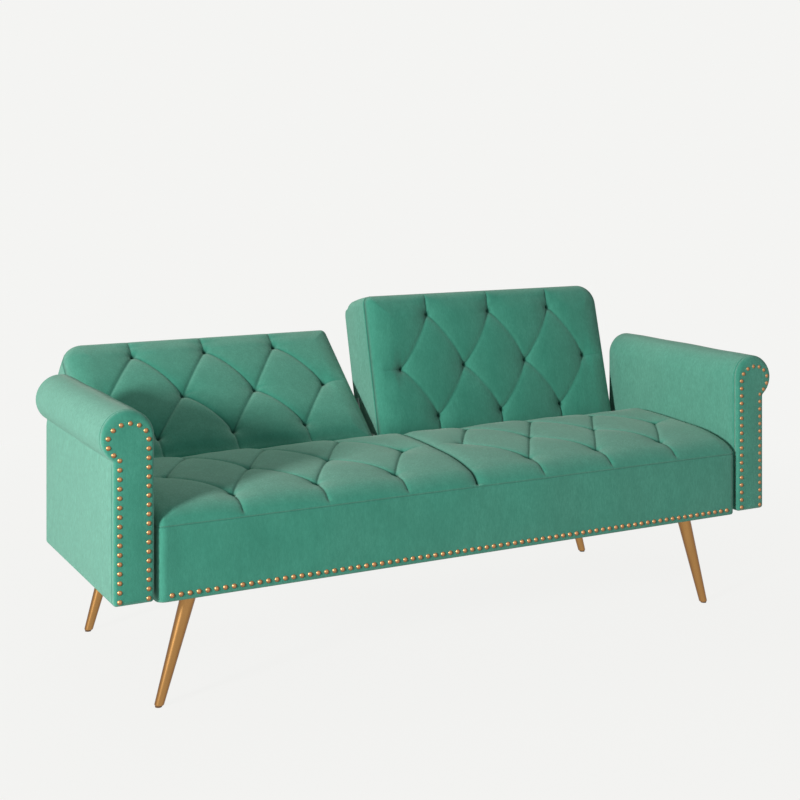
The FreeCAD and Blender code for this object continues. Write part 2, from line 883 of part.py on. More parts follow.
def arm_solid(name, sign, inset, bottom, front, rear):
    """An arm's rolled outline drawn inwards by inset, from front to rear; returns its body and its pad."""
    body = new_body(name)
    inner = size.arm_inner + inset
    outer = size.arm_inner + size.arm_thick - inset
    radius = size.roll_radius - inset
    centre_x = size.arm_inner + size.roll_radius
    reach = outer - centre_x
    under = size.roll_height - root(radius * radius - reach * reach)
    corners = [
        (sign * inner, bottom),
        (sign * inner, size.roll_height),
        (sign * outer, under),
        (sign * outer, bottom),
    ]
    arcs = {1: ((sign * centre_x, size.roll_height), radius, -sign)}
    block = pad(body, outline(body, "XZ_Plane", corners, arcs), rear - front)
    place(body, y=(front + rear) / 2)
    return body, block


def arm_facing(side, sign):
    """The padded panel on an arm's front, with a soft edge."""
    front = size.front_y
    rear = front + size.facing_thick
    body, block = arm_solid(f"{side}_facing", sign, 0, arm_low, front, rear)
    front_plane = -size.facing_thick / 2
    round_edges(
        body,
        block,
        size.facing_edge,
        lambda middle, ends: all(near(end.y, front_plane) for end in ends),
    )
    keep(body, f"{side}_arm_facing")


def arm_cover(side, sign):
    front = size.front_y + size.facing_thick
    outer, _ = arm_solid(f"{side}_arm_outer", sign, 0, arm_low, front, arm_rear)
    inner_bottom = arm_low + size.cover_wall
    inner_rear = arm_rear - size.cover_wall
    inner, _ = arm_solid(f"{side}_arm_inner", sign, size.cover_wall, inner_bottom, front, inner_rear)
    hollow = cut(f"{side}_arm_hollow", outer, [inner])
    keep(cut(f"{side}_arm_cover_cut", hollow, arm_drills(f"{side}_cover", sign)), f"{side}_arm_cover")


def arm_foam(side, sign):
    """A foam lining inside the cover, open at the bottom, round the timber frame."""
    front = size.front_y + size.facing_thick + size.soft_gap
    rear = arm_rear - foam_inset
    bottom = arm_low + foam_inset
    outer, _ = arm_solid(f"{side}_lining_outer", sign, foam_inset, bottom, front, rear)
    inner_inset = foam_inset + size.arm_foam_thick
    inner, _ = arm_solid(f"{side}_lining_inner", sign, inner_inset, bottom, front, rear)
    hollow = cut(f"{side}_lining_hollow", outer, [inner])
    keep(cut(f"{side}_lining_cut", hollow, arm_drills(f"{side}_lining", sign)), f"{side}_arm_foam")


def arm_drills(name, sign):
    """Holes from the arm's inner face to its frame, for the bolts."""
    return [
        rod(
            f"{name}_drill",
            size.bolt_radius + size.soft_gap,
            *span(sign, size.arm_inner, size.arm_inner + frame_inset),
            (y, arm_bolt_z),
            "x",
        )
        for y in arm_bolt_places
    ]


def arm_frame(side, sign):
    """Two scroll-shaped end panels, with two rails and a round roll rail between them."""
    front = size.front_y + size.facing_thick + size.soft_gap
    rear = arm_rear - foam_inset
    bottom = arm_low + foam_inset
    front_back = front + size.arm_panel_thick
    rear_front = rear - size.arm_panel_thick
    first, _ = arm_solid(f"{side}_front_panel", sign, frame_inset, bottom, front, front_back)
    second, _ = arm_solid(f"{side}_rear_panel", sign, frame_inset, bottom, rear_front, rear)
    across = span(sign, size.arm_inner + frame_inset, size.arm_inner + size.arm_thick - frame_inset)
    along = (front_back, rear_front)
    low = box(f"{side}_low_rail", across, along, (bottom, bottom + size.arm_rail_height))
    socket = size.bolt_radius + size.fit
    start = size.arm_inner + frame_inset
    holes = [
        rod(f"{side}_socket", socket, *span(sign, start, start + size.bolt_reach), (y, arm_bolt_z), "x")
        for y in arm_bolt_places
    ]
    middle = box(
        f"{side}_mid_rail",
        across,
        along,
        (size.arm_mid_height, size.arm_mid_height + size.arm_rail_height),
    )
    roll_centre = (sign * (size.arm_inner + size.roll_radius), size.roll_height)
    roll = rod(f"{side}_roll_rail", size.roll_rail_radius, *along, roll_centre, "y")
    pieces = [first, second, cut(f"{side}_low_rail_cut", low, holes), middle, roll]
    keep(group(f"{side}_arm_frame_group", pieces), f"{side}_arm_frame")


def arm_fixings():
    """Bolts from inside the base through spacers into each arm."""
    bolts = []
    spacers = []
    tip = size.arm_inner + frame_inset + size.bolt_reach
    for side, sign in SIDES.items():
        for y in arm_bolt_places:
            spot = (y, arm_bolt_z)
            shank = rod(f"{side}_bolt_shank", size.bolt_radius, *span(sign, side_in, tip), spot, "x")
            head_span = span(sign, side_in - size.bolt_head_thick, side_in)
            head = rod(f"{side}_bolt_head", size.bolt_head_radius, *head_span, spot, "x")
            bolts.append(join(f"{side}_bolt", [shank, head]))
            gap = span(sign, side_out, size.arm_inner)
            tube = rod(f"{side}_spacer", size.spacer_radius, *gap, spot, "x")
            bore = rod(f"{side}_spacer_bore", size.bolt_radius + size.fit, *gap, spot, "x")
            spacers.append(cut(f"{side}_spacer_cut", tube, [bore]))
    keep(group("arm_bolt_group", bolts), "arm_bolts")
    keep(group("arm_spacer_group", spacers), "arm_spacers")


# Hinges

bracket_drop = pivot_z - rail_top + size.bracket_lap
bracket_bolt_places = [
    pivot_y + size.bracket_rear - size.plate_margin - size.bolt_head_radius - step * size.bracket_bolt_pitch
    for step in range(BRACKET_BOLTS)
]
centre_screw_x = size.centre_web / 2 + size.screw_head_radius + size.centre_flange
centre_screw_places = [
    (side * centre_screw_x, pivot_y + end * size.centre_screw)
    for side in (-1, 1)
    for end in (-1, 1)
]
plate_in = back_out + size.soft_gap
plate_out = plate_in + size.plate_thick
bracket_in = most(side_out, plate_out + size.plate_screw_head + size.hinge_gap)
bracket_out = bracket_in + size.bracket_thick
pin_hole = size.pin_radius + size.fit
pawl_y = pivot_y - size.pawl_front
pawl_z = pivot_z - size.pawl_down


def post_outline(body, top, front, rear, drop):
    """Outline of an upright plate that narrows to a round top about the hinge line."""
    corners = [(-front, -drop), (rear, -drop), (top, 0), (-top, 0)]
    arcs = {2: ((0, 0), top, 1)}
    return outline(body, "YZ_Plane", corners, arcs)


def side_bracket(side, sign):
    """A plate on the side rail that carries a back's outer pin and its pawl."""
    body = new_body(f"{side}_bracket_body")
    post = post_outline(body, size.bracket_top, size.bracket_front, size.bracket_rear, bracket_drop)
    pad(body, post, size.bracket_thick)
    place(body, sign * (bracket_in + bracket_out) / 2, pivot_y, pivot_z)
    through = span(sign, bracket_in, bracket_out)
    holes = [rod(f"{side}_bracket_eye", pin_hole, *through, (pivot_y, pivot_z), "x")]
    holes.append(rod(f"{side}_pawl_hole", size.pawl_pin_radius + size.fit, *through, (pawl_y, pawl_z), "x"))
    holes += [
        rod(f"{side}_bracket_hole", size.bolt_radius + size.fit, *through, (y, arm_bolt_z), "x")
        for y in bracket_bolt_places
    ]
    keep(cut(f"{side}_bracket_cut", body, holes), f"{side}_hinge_bracket")


def centre_bracket():
    """A flanged plate on the deck that carries the inner ends of both backs."""
    web = new_body("centre_web_body")
    drop = pivot_z - deck_top
    pad(web, post_outline(web, size.bracket_top, size.centre_half, size.centre_half, drop), size.centre_web)
    place(web, 0, pivot_y, pivot_z)
    flange = box(
        "centre_flange_box",
        (-size.rail_width / 2, size.rail_width / 2),
        (pivot_y - size.centre_half, pivot_y + size.centre_half),
        (deck_top, deck_top + size.centre_flange),
    )
    half = size.centre_web / 2
    holes = [rod("centre_eye", pin_hole, -half, half, (pivot_y, pivot_z), "x")]
    holes += [
        rod("centre_hole", size.screw_radius + size.fit, deck_top, deck_top + size.centre_flange, spot)
        for spot in centre_screw_places
    ]
    keep(cut("centre_bracket_cut", join("centre_bracket_join", [web, flange]), holes), "centre_hinge_bracket")


def hinge_fixings():
    """Bolts of the side brackets and screws of the centre bracket."""
    bolts = []
    for side, sign in SIDES.items():
        for y in bracket_bolt_places:
            spot = (y, arm_bolt_z)
            shank = rod(f"{side}_fix_shank", size.bolt_radius, *span(sign, side_in, bracket_out), spot, "x")
            head_span = span(sign, bracket_out, bracket_out + size.bracket_bolt_head)
            head = rod(f"{side}_fix_head", size.bolt_head_radius, *head_span, spot, "x")
            bolts.append(join(f"{side}_fix", [shank, head]))
    keep(group("bracket_bolt_group", bolts), "bracket_bolts")
    screws = []
    top = deck_top + size.centre_flange
    for spot in centre_screw_places:
        shank = rod("centre_shank", size.screw_radius, rail_top - size.screw_depth, top, spot)
        head = rod("centre_head", size.screw_head_radius, top, top + size.screw_head_thick, spot)
        screws.append(join("centre_screw_join", [shank, head]))
    keep(group("centre_screw_group", screws), "centre_bracket_screws")


def hinge_pins():
    """Headed pins at the arms and a plain pin in the middle, all on the hinge line."""
    spot = (pivot_y, pivot_z)
    reach = size.split_half - size.soft_gap
    pins = [rod("centre_pin", size.pin_radius, -reach, reach, spot, "x")]
    small = (pawl_y, pawl_z)
    pawl_pins = []
    for side, sign in SIDES.items():
        shank_span = span(sign, plate_in, bracket_out)
        shank = rod(f"{side}_pin_shank", size.pin_radius, *shank_span, spot, "x")
        head_span = span(sign, bracket_out, bracket_out + size.pin_head_thick)
        head = rod(f"{side}_pin_head", size.pin_head_radius, *head_span, spot, "x")
        pins.append(join(f"{side}_pin", [shank, head]))
        shank = rod(f"{side}_small_shank", size.pawl_pin_radius, *shank_span, small, "x")
        head_span = span(sign, bracket_out, bracket_out + size.pawl_pin_head)
        head = rod(f"{side}_small_head", size.pawl_eye, *head_span, small, "x")
        pawl_pins.append(join(f"{side}_small_pin", [shank, head]))
    keep(group("hinge_pin_group", pins), "hinge_pins")
    keep(group("pawl_pin_group", pawl_pins), "pawl_pins")


def pawl(side, sign):
    """A toothed lever under the ratchet plate, held just clear of the notches."""
    body = new_body(f"{side}_pawl_body")
    tip = size.pawl_down - size.ratchet_radius - size.pawl_clear
    half = size.pawl_tooth_width / 2
    tooth = size.pawl_front + size.pawl_tooth_shift
    eye = size.pawl_eye
    corners = [
        (-eye / 2, eye / 2),
        (-eye / 2, -eye / 2),
        (tooth + 2 * half, half - eye),
        (tooth + half, tip),
        (tooth - half, tip),
        (tooth - 2 * half, tip / 3),
    ]
    pad(body, outline(body, "YZ_Plane", corners), size.plate_thick)
    pad(body, disc(body, "YZ_Plane", eye), size.plate_thick)
    place(body, sign * (plate_in + plate_out) / 2, pawl_y, pawl_z)
    through = span(sign, plate_in, plate_out)
    hole = rod(f"{side}_pawl_eye", size.pawl_pin_radius + size.fit, *through, (pawl_y, pawl_z), "x")
    keep(cut(f"{side}_pawl_cut", body, [hole]), f"{side}_pawl")


def pawl_springs():
    """Leaf springs below the pawls, each with a tab on its bracket."""
    springs = []
    leaf_top = pawl_z - size.pawl_eye - size.soft_gap
    front = pawl_y + size.pawl_eye
    for side, sign in SIDES.items():
        leaf_low = leaf_top - size.leaf_thick
        along = (front, front + size.leaf_length)
        leaf = box(f"{side}_leaf", span(sign, plate_in, bracket_in), along, (leaf_low, leaf_top))
        tab_low = leaf_top - size.leaf_drop
        tab_span = span(sign, bracket_in - size.leaf_tab, bracket_in)
        tab = box(f"{side}_tab", tab_span, along, (tab_low, leaf_top))
        springs.append(join(f"{side}_leaf_spring", [leaf, tab]))
    keep(group("pawl_spring_group", springs), "pawl_springs")


# Backs, drawn about the hinge line: X across, Y through the back, Z up the back


def tilted(item, node, side):
    """Lean a finished piece of a back to that back's rest angle and make it a node."""
    angle = size.tilt_middle if side == "left" else size.tilt_upright
    place(item, 0, pivot_y, pivot_z, X_AXIS, -angle)
    keep(item, node)


def back_solid(name, sign, inset, rear):
    """A back's cushion drawn inwards by inset, through to a given rear face."""
    body = new_body(name)
    inner = size.split_half + inset
    outer = back_out - inset
    bottom = inset - size.back_bottom
    top = size.back_top - inset
    turn = size.back_outer_radius
    corners = [
        (sign * inner, bottom),
        (sign * outer, bottom),
        (sign * outer, size.back_top - turn),
        (sign * (back_out - turn), top),
        (sign * inner, top),
    ]
    arcs = {2: ((sign * (back_out - turn), size.back_top - turn), turn - inset, sign)}
    front = size.back_front - inset
    block = pad(body, outline(body, "XZ_Plane", corners, arcs), front, rear)
    round_edges(body, block, size.back_edge - inset, lambda middle, ends: near(middle.y, -front))
    fall = size.back_rear_radius
    beyond = size.back_rear + fall
    above = size.back_top + fall
    waste = [
        (size.back_rear - inset, size.back_top - fall),
        (size.back_rear - fall, top),
        (size.back_rear - fall, above),
        (beyond, above),
        (beyond, size.back_top - fall),
    ]
    bend = {0: ((size.back_rear - fall, size.back_top - fall), fall - inset, 1)}
    pocket = body.newObject("PartDesign::Pocket", name + "_pocket")
    pocket.Profile = outline(body, "YZ_Plane", waste, bend)
    pocket.SideType = "Symmetric"
    bind(pocket, Length=2 * size.arm_inner)
    return body


def back_folds(side, sign):
    """The folds of a back's front panel."""
    pitch = (back_out - size.split_half - 2 * size.back_tuft_side) / 3
    low = size.back_tuft_bottom - size.back_bottom
    rows = (low, low + size.back_tuft_middle, size.back_top - size.back_tuft_top)
    centre = sign * (size.split_half + back_out) / 2
    folds = panel_folds(f"{side}_back_fold", centre, pitch, rows, (-size.back_bottom, size.back_top))
    return place(join(f"{side}_back_folds", folds), 0, -size.back_front, 0)


def tufted_back(name, folds, sign, inset, rear):
    """A back's cushion with its folds, drawn inwards by inset, through to a given rear face."""
    sunk = place(group(name + "_folds", [folds]), 0, fold_drop(inset), 0)
    return cut(name + "_tufted", back_solid(name, sign, inset, rear), [sunk])


def plate_screw_places():
    depth = (size.back_frame_front + size.back_rear - foam_inset) / 2
    return [
        (depth, size.plate_screw_low + step * size.plate_screw_pitch)
        for step in range(PLATE_SCREWS)
    ]


def plate_ends(sign):
    """For a back's outer and inner plate: limits of the plate, and the way X grows into the back."""
    outer = span(sign, plate_in, plate_out)
    inner_low = size.split_half - size.soft_gap - size.plate_thick
    inner = span(sign, inner_low, size.split_half - size.soft_gap)
    return {"outer": (outer, -sign), "inner": (inner, sign)}


def plate_shank(limits, way):
    """Limits of a plate screw's shank, through the plate and into the back."""
    if way > 0:
        return limits[0], limits[1] + size.screw_depth
    return limits[0] - size.screw_depth, limits[1]


def plate_screw_holes(name, sign, radius):
    """Holes for the screws of both plates, from the plates into the stiles; the outer plate's come first."""
    holes = []
    for end, (limits, way) in plate_ends(sign).items():
        through = plate_shank(limits, way)
        holes += [rod(f"{name}_{end}_hole", radius, *through, spot, "x") for spot in plate_screw_places()]
    return holes


def back_cover(side, sign, folds):
    outer = tufted_back(f"{side}_back_outer", folds, sign, measure(0), size.back_rear)
    inner_rear = size.back_rear - size.cover_wall
    inner = tufted_back(f"{side}_back_inner", folds, sign, size.cover_wall, inner_rear)
    hollow = cut(f"{side}_back_hollow", outer, [inner])
    holes = plate_screw_holes(f"{side}_back_cover", sign, size.screw_radius + size.soft_gap)
    tilted(cut(f"{side}_back_cover_cut", hollow, holes), f"{side}_back_cover", side)


def back_filling(side, sign, folds):
    strap_front = size.back_frame_front - size.strap_thick
    foam_rear = least(strap_front - size.soft_gap, size.back_rear - size.back_rear_radius)
    foam = tufted_back(f"{side}_back_foam_body", folds, sign, foam_inset, foam_rear)
    tilted(foam, f"{side}_back_foam", side)
    low, high = back_frame_heights()
    rail = size.back_rail_height
    first = size.split_half + foam_inset + size.stile_width
    room = back_out - foam_inset - size.stile_width - first
    count = int(size.strap_count.value)
    straps = []
    for number in range(count):
        middle = first + room * (number + 0.5) / count
        across = span(sign, middle - size.strap_width / 2, middle + size.strap_width / 2)
        heights = (low + rail / 2, high - rail / 2)
        straps.append(box(f"{side}_strap", across, (strap_front, size.back_frame_front), heights))
    tilted(group(f"{side}_strap_group", straps), f"{side}_back_straps", side)


def back_frame_heights():
    low = foam_inset - size.back_bottom
    high = size.back_top - most(size.back_outer_radius, size.back_rear_radius)
    return low, high


def back_frame(side, sign):
    """Two stiles with a rail between them at the bottom and at the top."""
    low, high = back_frame_heights()
    through = (size.back_frame_front, size.back_rear - foam_inset)
    inner = size.split_half + foam_inset
    outer = back_out - foam_inset
    rail = size.back_rail_height
    near_stile = box(f"{side}_near_stile", span(sign, inner, inner + size.stile_width), through, (low, high))
    far_stile = box(f"{side}_far_stile", span(sign, outer - size.stile_width, outer), through, (low, high))
    holes = plate_screw_holes(f"{side}_stile", sign, size.screw_radius + size.fit)
    between = span(sign, inner + size.stile_width, outer - size.stile_width)
    pieces = [
        cut(f"{side}_far_stile_cut", far_stile, holes[:PLATE_SCREWS]),
        cut(f"{side}_near_stile_cut", near_stile, holes[PLATE_SCREWS:]),
        box(f"{side}_bottom_rail", between, through, (low, low + rail)),
        box(f"{side}_top_rail", between, through, (high - rail, high)),
    ]
    tilted(group(f"{side}_back_frame_group", pieces), f"{side}_back_frame", side)


def hinge_plate(side, end, limits):
    """A plate on the end of a back, from the hinge pin to the stile; the outer one is the ratchet."""
    name = f"{side}_{end}"
    body = new_body(f"{name}_plate_body")
    hub = size.plate_hub
    far = size.back_rear - size.plate_margin
    close = size.back_frame_front + size.plate_margin
    screws = plate_screw_places()
    top = screws[-1][1] + size.plate_rise
    corners = [
        (-hub / 2, -hub / 2),
        (hub / 2, -hub / 2),
        (far, hub),
        (far, top),
        (close, top),
        (close, 2 * hub),
        (-hub / 2, hub / 2),
    ]
    pad(body, outline(body, "YZ_Plane", corners), size.plate_thick)
    pad(body, disc(body, "YZ_Plane", hub), size.plate_thick)
    holes = [rod(f"{name}_eye", pin_hole, *limits, (0, 0), "x")]
    radius = size.screw_radius + size.fit
    holes += [rod(f"{name}_plate_hole", radius, *limits, spot, "x") for spot in screws]
    if end == "outer":
        rim = size.ratchet_radius
        ends = [(rim * sine(angle), -rim * cosine(angle)) for angle in (size.ratchet_start, size.ratchet_end)]
        sector = outline(body, "YZ_Plane", [(0, 0), *ends], {1: ((0, 0), rim, 1)})
        pad(body, sector, size.plate_thick)
        for angle in (size.tilt_upright, size.tilt_middle, size.tilt_flat):
            holes.append(ratchet_notch(name, limits, angle))
    place(body, (limits[0] + limits[1]) / 2)
    tilted(cut(f"{name}_plate_cut", body, holes), f"{side}_back_{end}_plate", side)


def ratchet_notch(name, limits, angle):
    """A square notch in the ratchet's rim that faces straight down when the back leans by an angle."""
    half = size.notch_width / 2
    rim = size.ratchet_radius
    floor = rim - size.notch_depth
    notch = doc.addObject("Part::Box", f"{name}_notch")
    bind(notch, Length=limits[1] - limits[0], Width=size.notch_width, Height=2 * size.notch_depth)
    low = floor + 2 * size.notch_depth
    corner_y = low * sine(angle) - half * cosine(angle)
    corner_z = -low * cosine(angle) - half * sine(angle)
    return place(notch, limits[0], corner_y, corner_z, X_AXIS, angle)


def plate_screws(side, sign):
    screws = []
    for end, (limits, way) in plate_ends(sign).items():
        for spot in plate_screw_places():
            if way > 0:
                head_span = (limits[0] - size.plate_screw_head, limits[0])
            else:
                head_span = (limits[1], limits[1] + size.plate_screw_head)
            shank = rod(f"{side}_{end}_shank", size.screw_radius, *plate_shank(limits, way), spot, "x")
            head = rod(f"{side}_{end}_head", size.screw_head_radius, *head_span, spot, "x")
            screws.append(join(f"{side}_{end}_screw", [shank, head]))
    tilted(group(f"{side}_plate_screw_group", screws), f"{side}_back_screws", side)


# Build every piece

cross_rails()
leg_blocks()
deck()
dust_cover()
leg_fittings()
for place_name, (side_sign, place_y) in leg_places.items():
    leg(place_name, side_sign, place_y)
seat_tufting = seat_folds()
seat_cover(seat_tufting)
seat_springs()
seat_filling(seat_tufting)
seat_nails()
arm_fixings()
centre_bracket()
hinge_fixings()
hinge_pins()
pawl_springs()
for side_name, side_sign in SIDES.items():
    side_rail(side_name, side_sign)
    arm_facing(side_name, side_sign)
    arm_cover(side_name, side_sign)
    arm_foam(side_name, side_sign)
    arm_frame(side_name, side_sign)
    arm_nails(side_name, side_sign)
    side_bracket(side_name, side_sign)
    pawl(side_name, side_sign)
    back_tufting = back_folds(side_name, side_sign)
    back_cover(side_name, side_sign, back_tufting)
    back_filling(side_name, side_sign, back_tufting)
    back_frame(side_name, side_sign)
    for plate_end, (plate_limits, _) in plate_ends(side_sign).items():
        hinge_plate(side_name, plate_end, plate_limits)
    plate_screws(side_name, side_sign)
doc.recompute()

# Check every object and write every node

for item in doc.Objects:
    if "Invalid" in item.State or "Error" in item.State:
        raise RuntimeError(f"{item.Name} failed: {item.State}")
for node, item in nodes.items():
    if item.Shape.isNull() or not item.Shape.isValid():
        raise RuntimeError(f"{node} has no valid shape")
    if not item.Shape.Solids:
        raise RuntimeError(f"{node} has no solid")

os.makedirs("parts", exist_ok=True)
for node, item in nodes.items():
    item.Shape.exportStep(f"parts/{node}.step")
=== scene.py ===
"""Upholsters the sofa bed's frame: tufted seat and backs, rolled arms, nails, legs and a plain studio."""

import json
import math

import bmesh
import bpy
import numpy as np
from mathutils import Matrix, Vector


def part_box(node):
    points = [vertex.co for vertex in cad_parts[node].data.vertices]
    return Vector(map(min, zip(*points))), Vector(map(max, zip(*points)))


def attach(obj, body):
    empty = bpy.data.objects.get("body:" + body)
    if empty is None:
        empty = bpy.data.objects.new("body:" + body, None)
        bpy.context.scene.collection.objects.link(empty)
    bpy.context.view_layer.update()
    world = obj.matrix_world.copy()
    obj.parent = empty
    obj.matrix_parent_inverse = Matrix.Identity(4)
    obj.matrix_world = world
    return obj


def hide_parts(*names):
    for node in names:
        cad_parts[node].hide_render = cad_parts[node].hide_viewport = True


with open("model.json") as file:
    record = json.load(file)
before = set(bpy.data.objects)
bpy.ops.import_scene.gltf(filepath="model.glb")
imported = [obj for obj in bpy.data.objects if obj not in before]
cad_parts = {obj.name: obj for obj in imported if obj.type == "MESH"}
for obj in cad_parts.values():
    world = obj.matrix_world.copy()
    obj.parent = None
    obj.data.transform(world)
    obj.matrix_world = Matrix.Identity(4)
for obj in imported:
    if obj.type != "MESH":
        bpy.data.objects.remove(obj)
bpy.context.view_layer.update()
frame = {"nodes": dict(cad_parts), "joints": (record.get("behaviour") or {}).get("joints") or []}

bl_info = {
    "name": "Tufted sofa bed",
    "version": (1, 0, 0),
    "blender": (4, 5, 0),
    "location": "3D View > Sidebar > Sofa bed",
    "description": "Upholsters a sofa bed with two reclining backs and lights it in a studio",
    "category": "Object",
}

SEAT_LOW, SEAT_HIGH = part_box("seat_cover")
ARM_LOW, ARM_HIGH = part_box("right_arm_cover")
FACING_LOW, FACING_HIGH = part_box("right_arm_facing")
SHEET_LOW, SHEET_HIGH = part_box("dust_cover")
HINGE = next(j for j in frame["joints"] if j["name"] == "right_back_recline")["pos_m"]
SIDES = (("left", -1.0), ("right", 1.0))
QUARTER = math.pi / 2
TINY = 1e-9


def length(name, description, default):
    """A length that a user may change, in metres."""
    return bpy.props.FloatProperty(
        name=name, description=description, default=default, unit="LENGTH", subtype="DISTANCE", precision=4
    )


def angle(name, description, degrees):
    """An angle that a user may change."""
    return bpy.props.FloatProperty(
        name=name, description=description, default=math.radians(degrees), unit="ROTATION", subtype="ANGLE"
    )


def share(name, description, default):
    """A share from nought to one that a user may change."""
    return bpy.props.FloatProperty(
        name=name, description=description, default=default, min=0.0, max=1.0, subtype="FACTOR"
    )


def colour(name, description, default):
    """A colour that a user may change."""
    return bpy.props.FloatVectorProperty(
        name=name, description=description, default=default, size=3, min=0.0, max=1.0, subtype="COLOR"
    )


class SofaTufting(bpy.types.PropertyGroup):
    """Places and depths of the tufts and their folds"""

    seat_centre: length("Seat panel centre", "Middle of a seat panel's tufts from the centre seam", 0.3828)
    seat_pitch: length("Seat tuft pitch", "Distance between the tufts of a seat row", 0.1991)
    seat_front_row: length("Seat front row", "Front tufts behind the seat's front", 0.072)
    seat_middle_row: length("Seat middle row", "Middle tufts behind the seat's front", 0.221)
    seat_rear_row: length("Seat rear row", "Rear tufts behind the seat's front", 0.366)
    back_centre: length("Back panel centre", "Middle of a back's tufts from the centre gap", 0.386)
    back_pitch: length("Back tuft pitch", "Distance between the tufts of a back's row", 0.1983)
    back_bottom_row: length("Back bottom row", "Bottom tufts above the hinge line", 0.057)
    back_middle_row: length("Back middle row", "Middle tufts above the hinge line", 0.188)
    back_top_row: length("Back top row", "Top tufts above the hinge line", 0.332)
    puff: length("Puff", "How far the puffs stand proud of the frame's own surface", 0.012)
    fold_depth: length("Fold depth", "Depth of the sharp part of a fold", 0.0055)
    fold_reach: length("Fold reach", "Half width of the sharp part of a fold", 0.0045)
    fold_lap: length("Fold lap", "How far one side of a fold laps over the other", 0.0011)
    fold_bow: length("Fold bow", "How far the middle of a back's fold bows aside", 0.006)
    shoulder_depth: length("Shoulder depth", "Depth of the round shoulders beside a fold", 0.005)
    shoulder_reach: length("Shoulder reach", "Half width of the round shoulders beside a fold", 0.020)
    dimple_depth: length("Dimple depth", "How far a tuft draws in the cover round it", 0.009)
    dimple_reach: length("Dimple reach", "Half width of the drawn in cover round a tuft", 0.036)
    pit_depth: length("Pit depth", "Extra depth of a tuft's pit", 0.008)
    pit_reach: length("Pit reach", "Half width of a tuft's pit", 0.0075)
    swell: length("Cloth swell", "Most that a back's cover swells between its folds", 0.007)
    seat_swell: length("Seat cloth swell", "Most that the seat's cover swells between its folds", 0.004)
    seat_share: share("Seat relief", "Depth of the seat's soft hollows against the backs' ones", 0.72)


class SofaShapes(bpy.types.PropertyGroup):
    """Edges and seams of the upholstery"""

    seat_seam: length("Seat seam height", "Height of the seat's front seam above the floor", 0.402)
    seat_crown: length("Seat crown", "How far behind the front the seat's top comes level", 0.15)
    seat_tilt: length("Seat tilt", "Rise of the seat's top from its front tufts to its rear ones", 0.012)
    seat_fall: length("Seat fall", "How far the seat's top falls behind the rear tufts", 0.032)
    seat_rear_radius: length("Seat rear edge", "Radius of the seat's rear top edge", 0.03)
    seat_end_radius: length("Seat end edge", "Radius of the seat's two ends", 0.018)
    seat_rear_bottom: length("Seat rear bottom", "Height of the seat cover's rear hem", 0.286)
    left_lean: angle("Left lean", "How far the left back leans from upright at rest", 50.6)
    right_lean: angle("Right lean", "How far the right back leans from upright at rest", 14.5)
    back_inner: length("Back inner end", "Inner end of a back from the middle", 0.0084)
    back_outer: length("Back outer end", "Outer end of a back from the middle", 0.763)
    back_bottom: length("Back bottom", "Bottom of a back from the hinge line", -0.028)
    back_top: length("Back top", "Top of a back above the hinge line", 0.392)
    back_front: length("Back front", "Front of a back ahead of the hinge line", 0.048)
    back_rear: length("Back rear", "Rear of a back behind the hinge line", 0.1015)
    back_edge: length("Back edge", "Radius of a back's front edge", 0.024)
    back_corner: length("Back corner", "Radius of a back's outer top corner", 0.057)
    back_rear_edge: length("Back rear edge", "Radius of a back's rear top edge", 0.04)
    roll_radius: length("Roll radius", "Radius of an arm's roll", 0.056)
    roll_edge: length("Roll front edge", "How far the top of a roll's front is rounded over", 0.022)
    facing_edge: length("Facing edge", "How far the sides of an arm's front are rounded over", 0.0075)
    roll_height: length("Roll height", "Height of the middle of an arm's roll", 0.5935)
    arm_outer: length("Arm outer side", "Outer side of an arm from the middle", 0.865)
    seam_depth: length("Seam depth", "Depth of a sewn seam", 0.0024)
    seam_width: length("Seam width", "Half width of a sewn seam", 0.0018)
    grid: length("Mesh step", "Step of the fine upholstery mesh", 0.0022)


class SofaFinishes(bpy.types.PropertyGroup):
    """Colours of the cover, the metal and the studio"""

    velvet: colour("Velvet", "Main colour of the velvet", (0.053, 0.258, 0.187))
    # The darker velvet is the brushed down pile's colour; scaled down, it is also the painted shade in
    # folds, pits and seams.
    velvet_dark: colour("Velvet in the folds", "Colour of the brushed down pile", (0.036, 0.190, 0.134))
    velvet_pale: colour("Velvet bloom", "Colour of the raised pile", (0.066, 0.292, 0.214))
    # Painted sheen: this paler colour, at the given share, is painted into the velvet's base colour where a
    # surface is seen at a low angle.
    velvet_sheen: colour("Velvet sheen", "Colour of the pile's tips at a low angle", (0.150, 0.345, 0.275))
    velvet_sheen_share: share("Velvet sheen share", "Share of the tips' colour at a low angle", 0.90)
    copper: colour("Nails", "Colour of the nail heads", (0.45, 0.226, 0.102))
    gold: colour("Legs", "Colour of the metal legs", (0.46, 0.242, 0.084))
    studio: colour("Studio", "Colour of the floor and backdrop", (0.905, 0.905, 0.89))


# Meshes


def ease(low, high, value):
    """A smooth step from nought at low to one at high."""
    part = np.clip((value - low) / (high - low), 0.0, 1.0)
    return part * part * (3.0 - 2.0 * part)


def rows_between(stops):
    """Sorted places from the first stop to the last; each stop is (place, step up to the next stop)."""
    places = []
    for (low, step), (high, _) in zip(stops, stops[1:]):
        count = max(1, round((high - low) / step))
        places.extend(low + (high - low) * np.arange(count) / count)
    return np.array(places + [stops[-1][0]])


def rounded_rows(low, high, radius, step, seams=(), seam_width=0.002):
    """Places across a panel, close together where its two edges turn and at its seams."""
    turn = radius * (1.0 - np.cos(np.linspace(0.0, QUARTER, 9)))
    places = [low + turn, high - turn, rows_between([(low + radius, step), (high - radius, step)])]
    fine = seam_width * np.array([-2.5, -1.6, -0.9, -0.4, 0.0, 0.4, 0.9, 1.6, 2.5])
    for seam in seams:
        places = [p[np.abs(p - seam) > 2.8 * seam_width] for p in places] + [seam + fine]
    return np.unique(np.round(np.concatenate(places), 7))


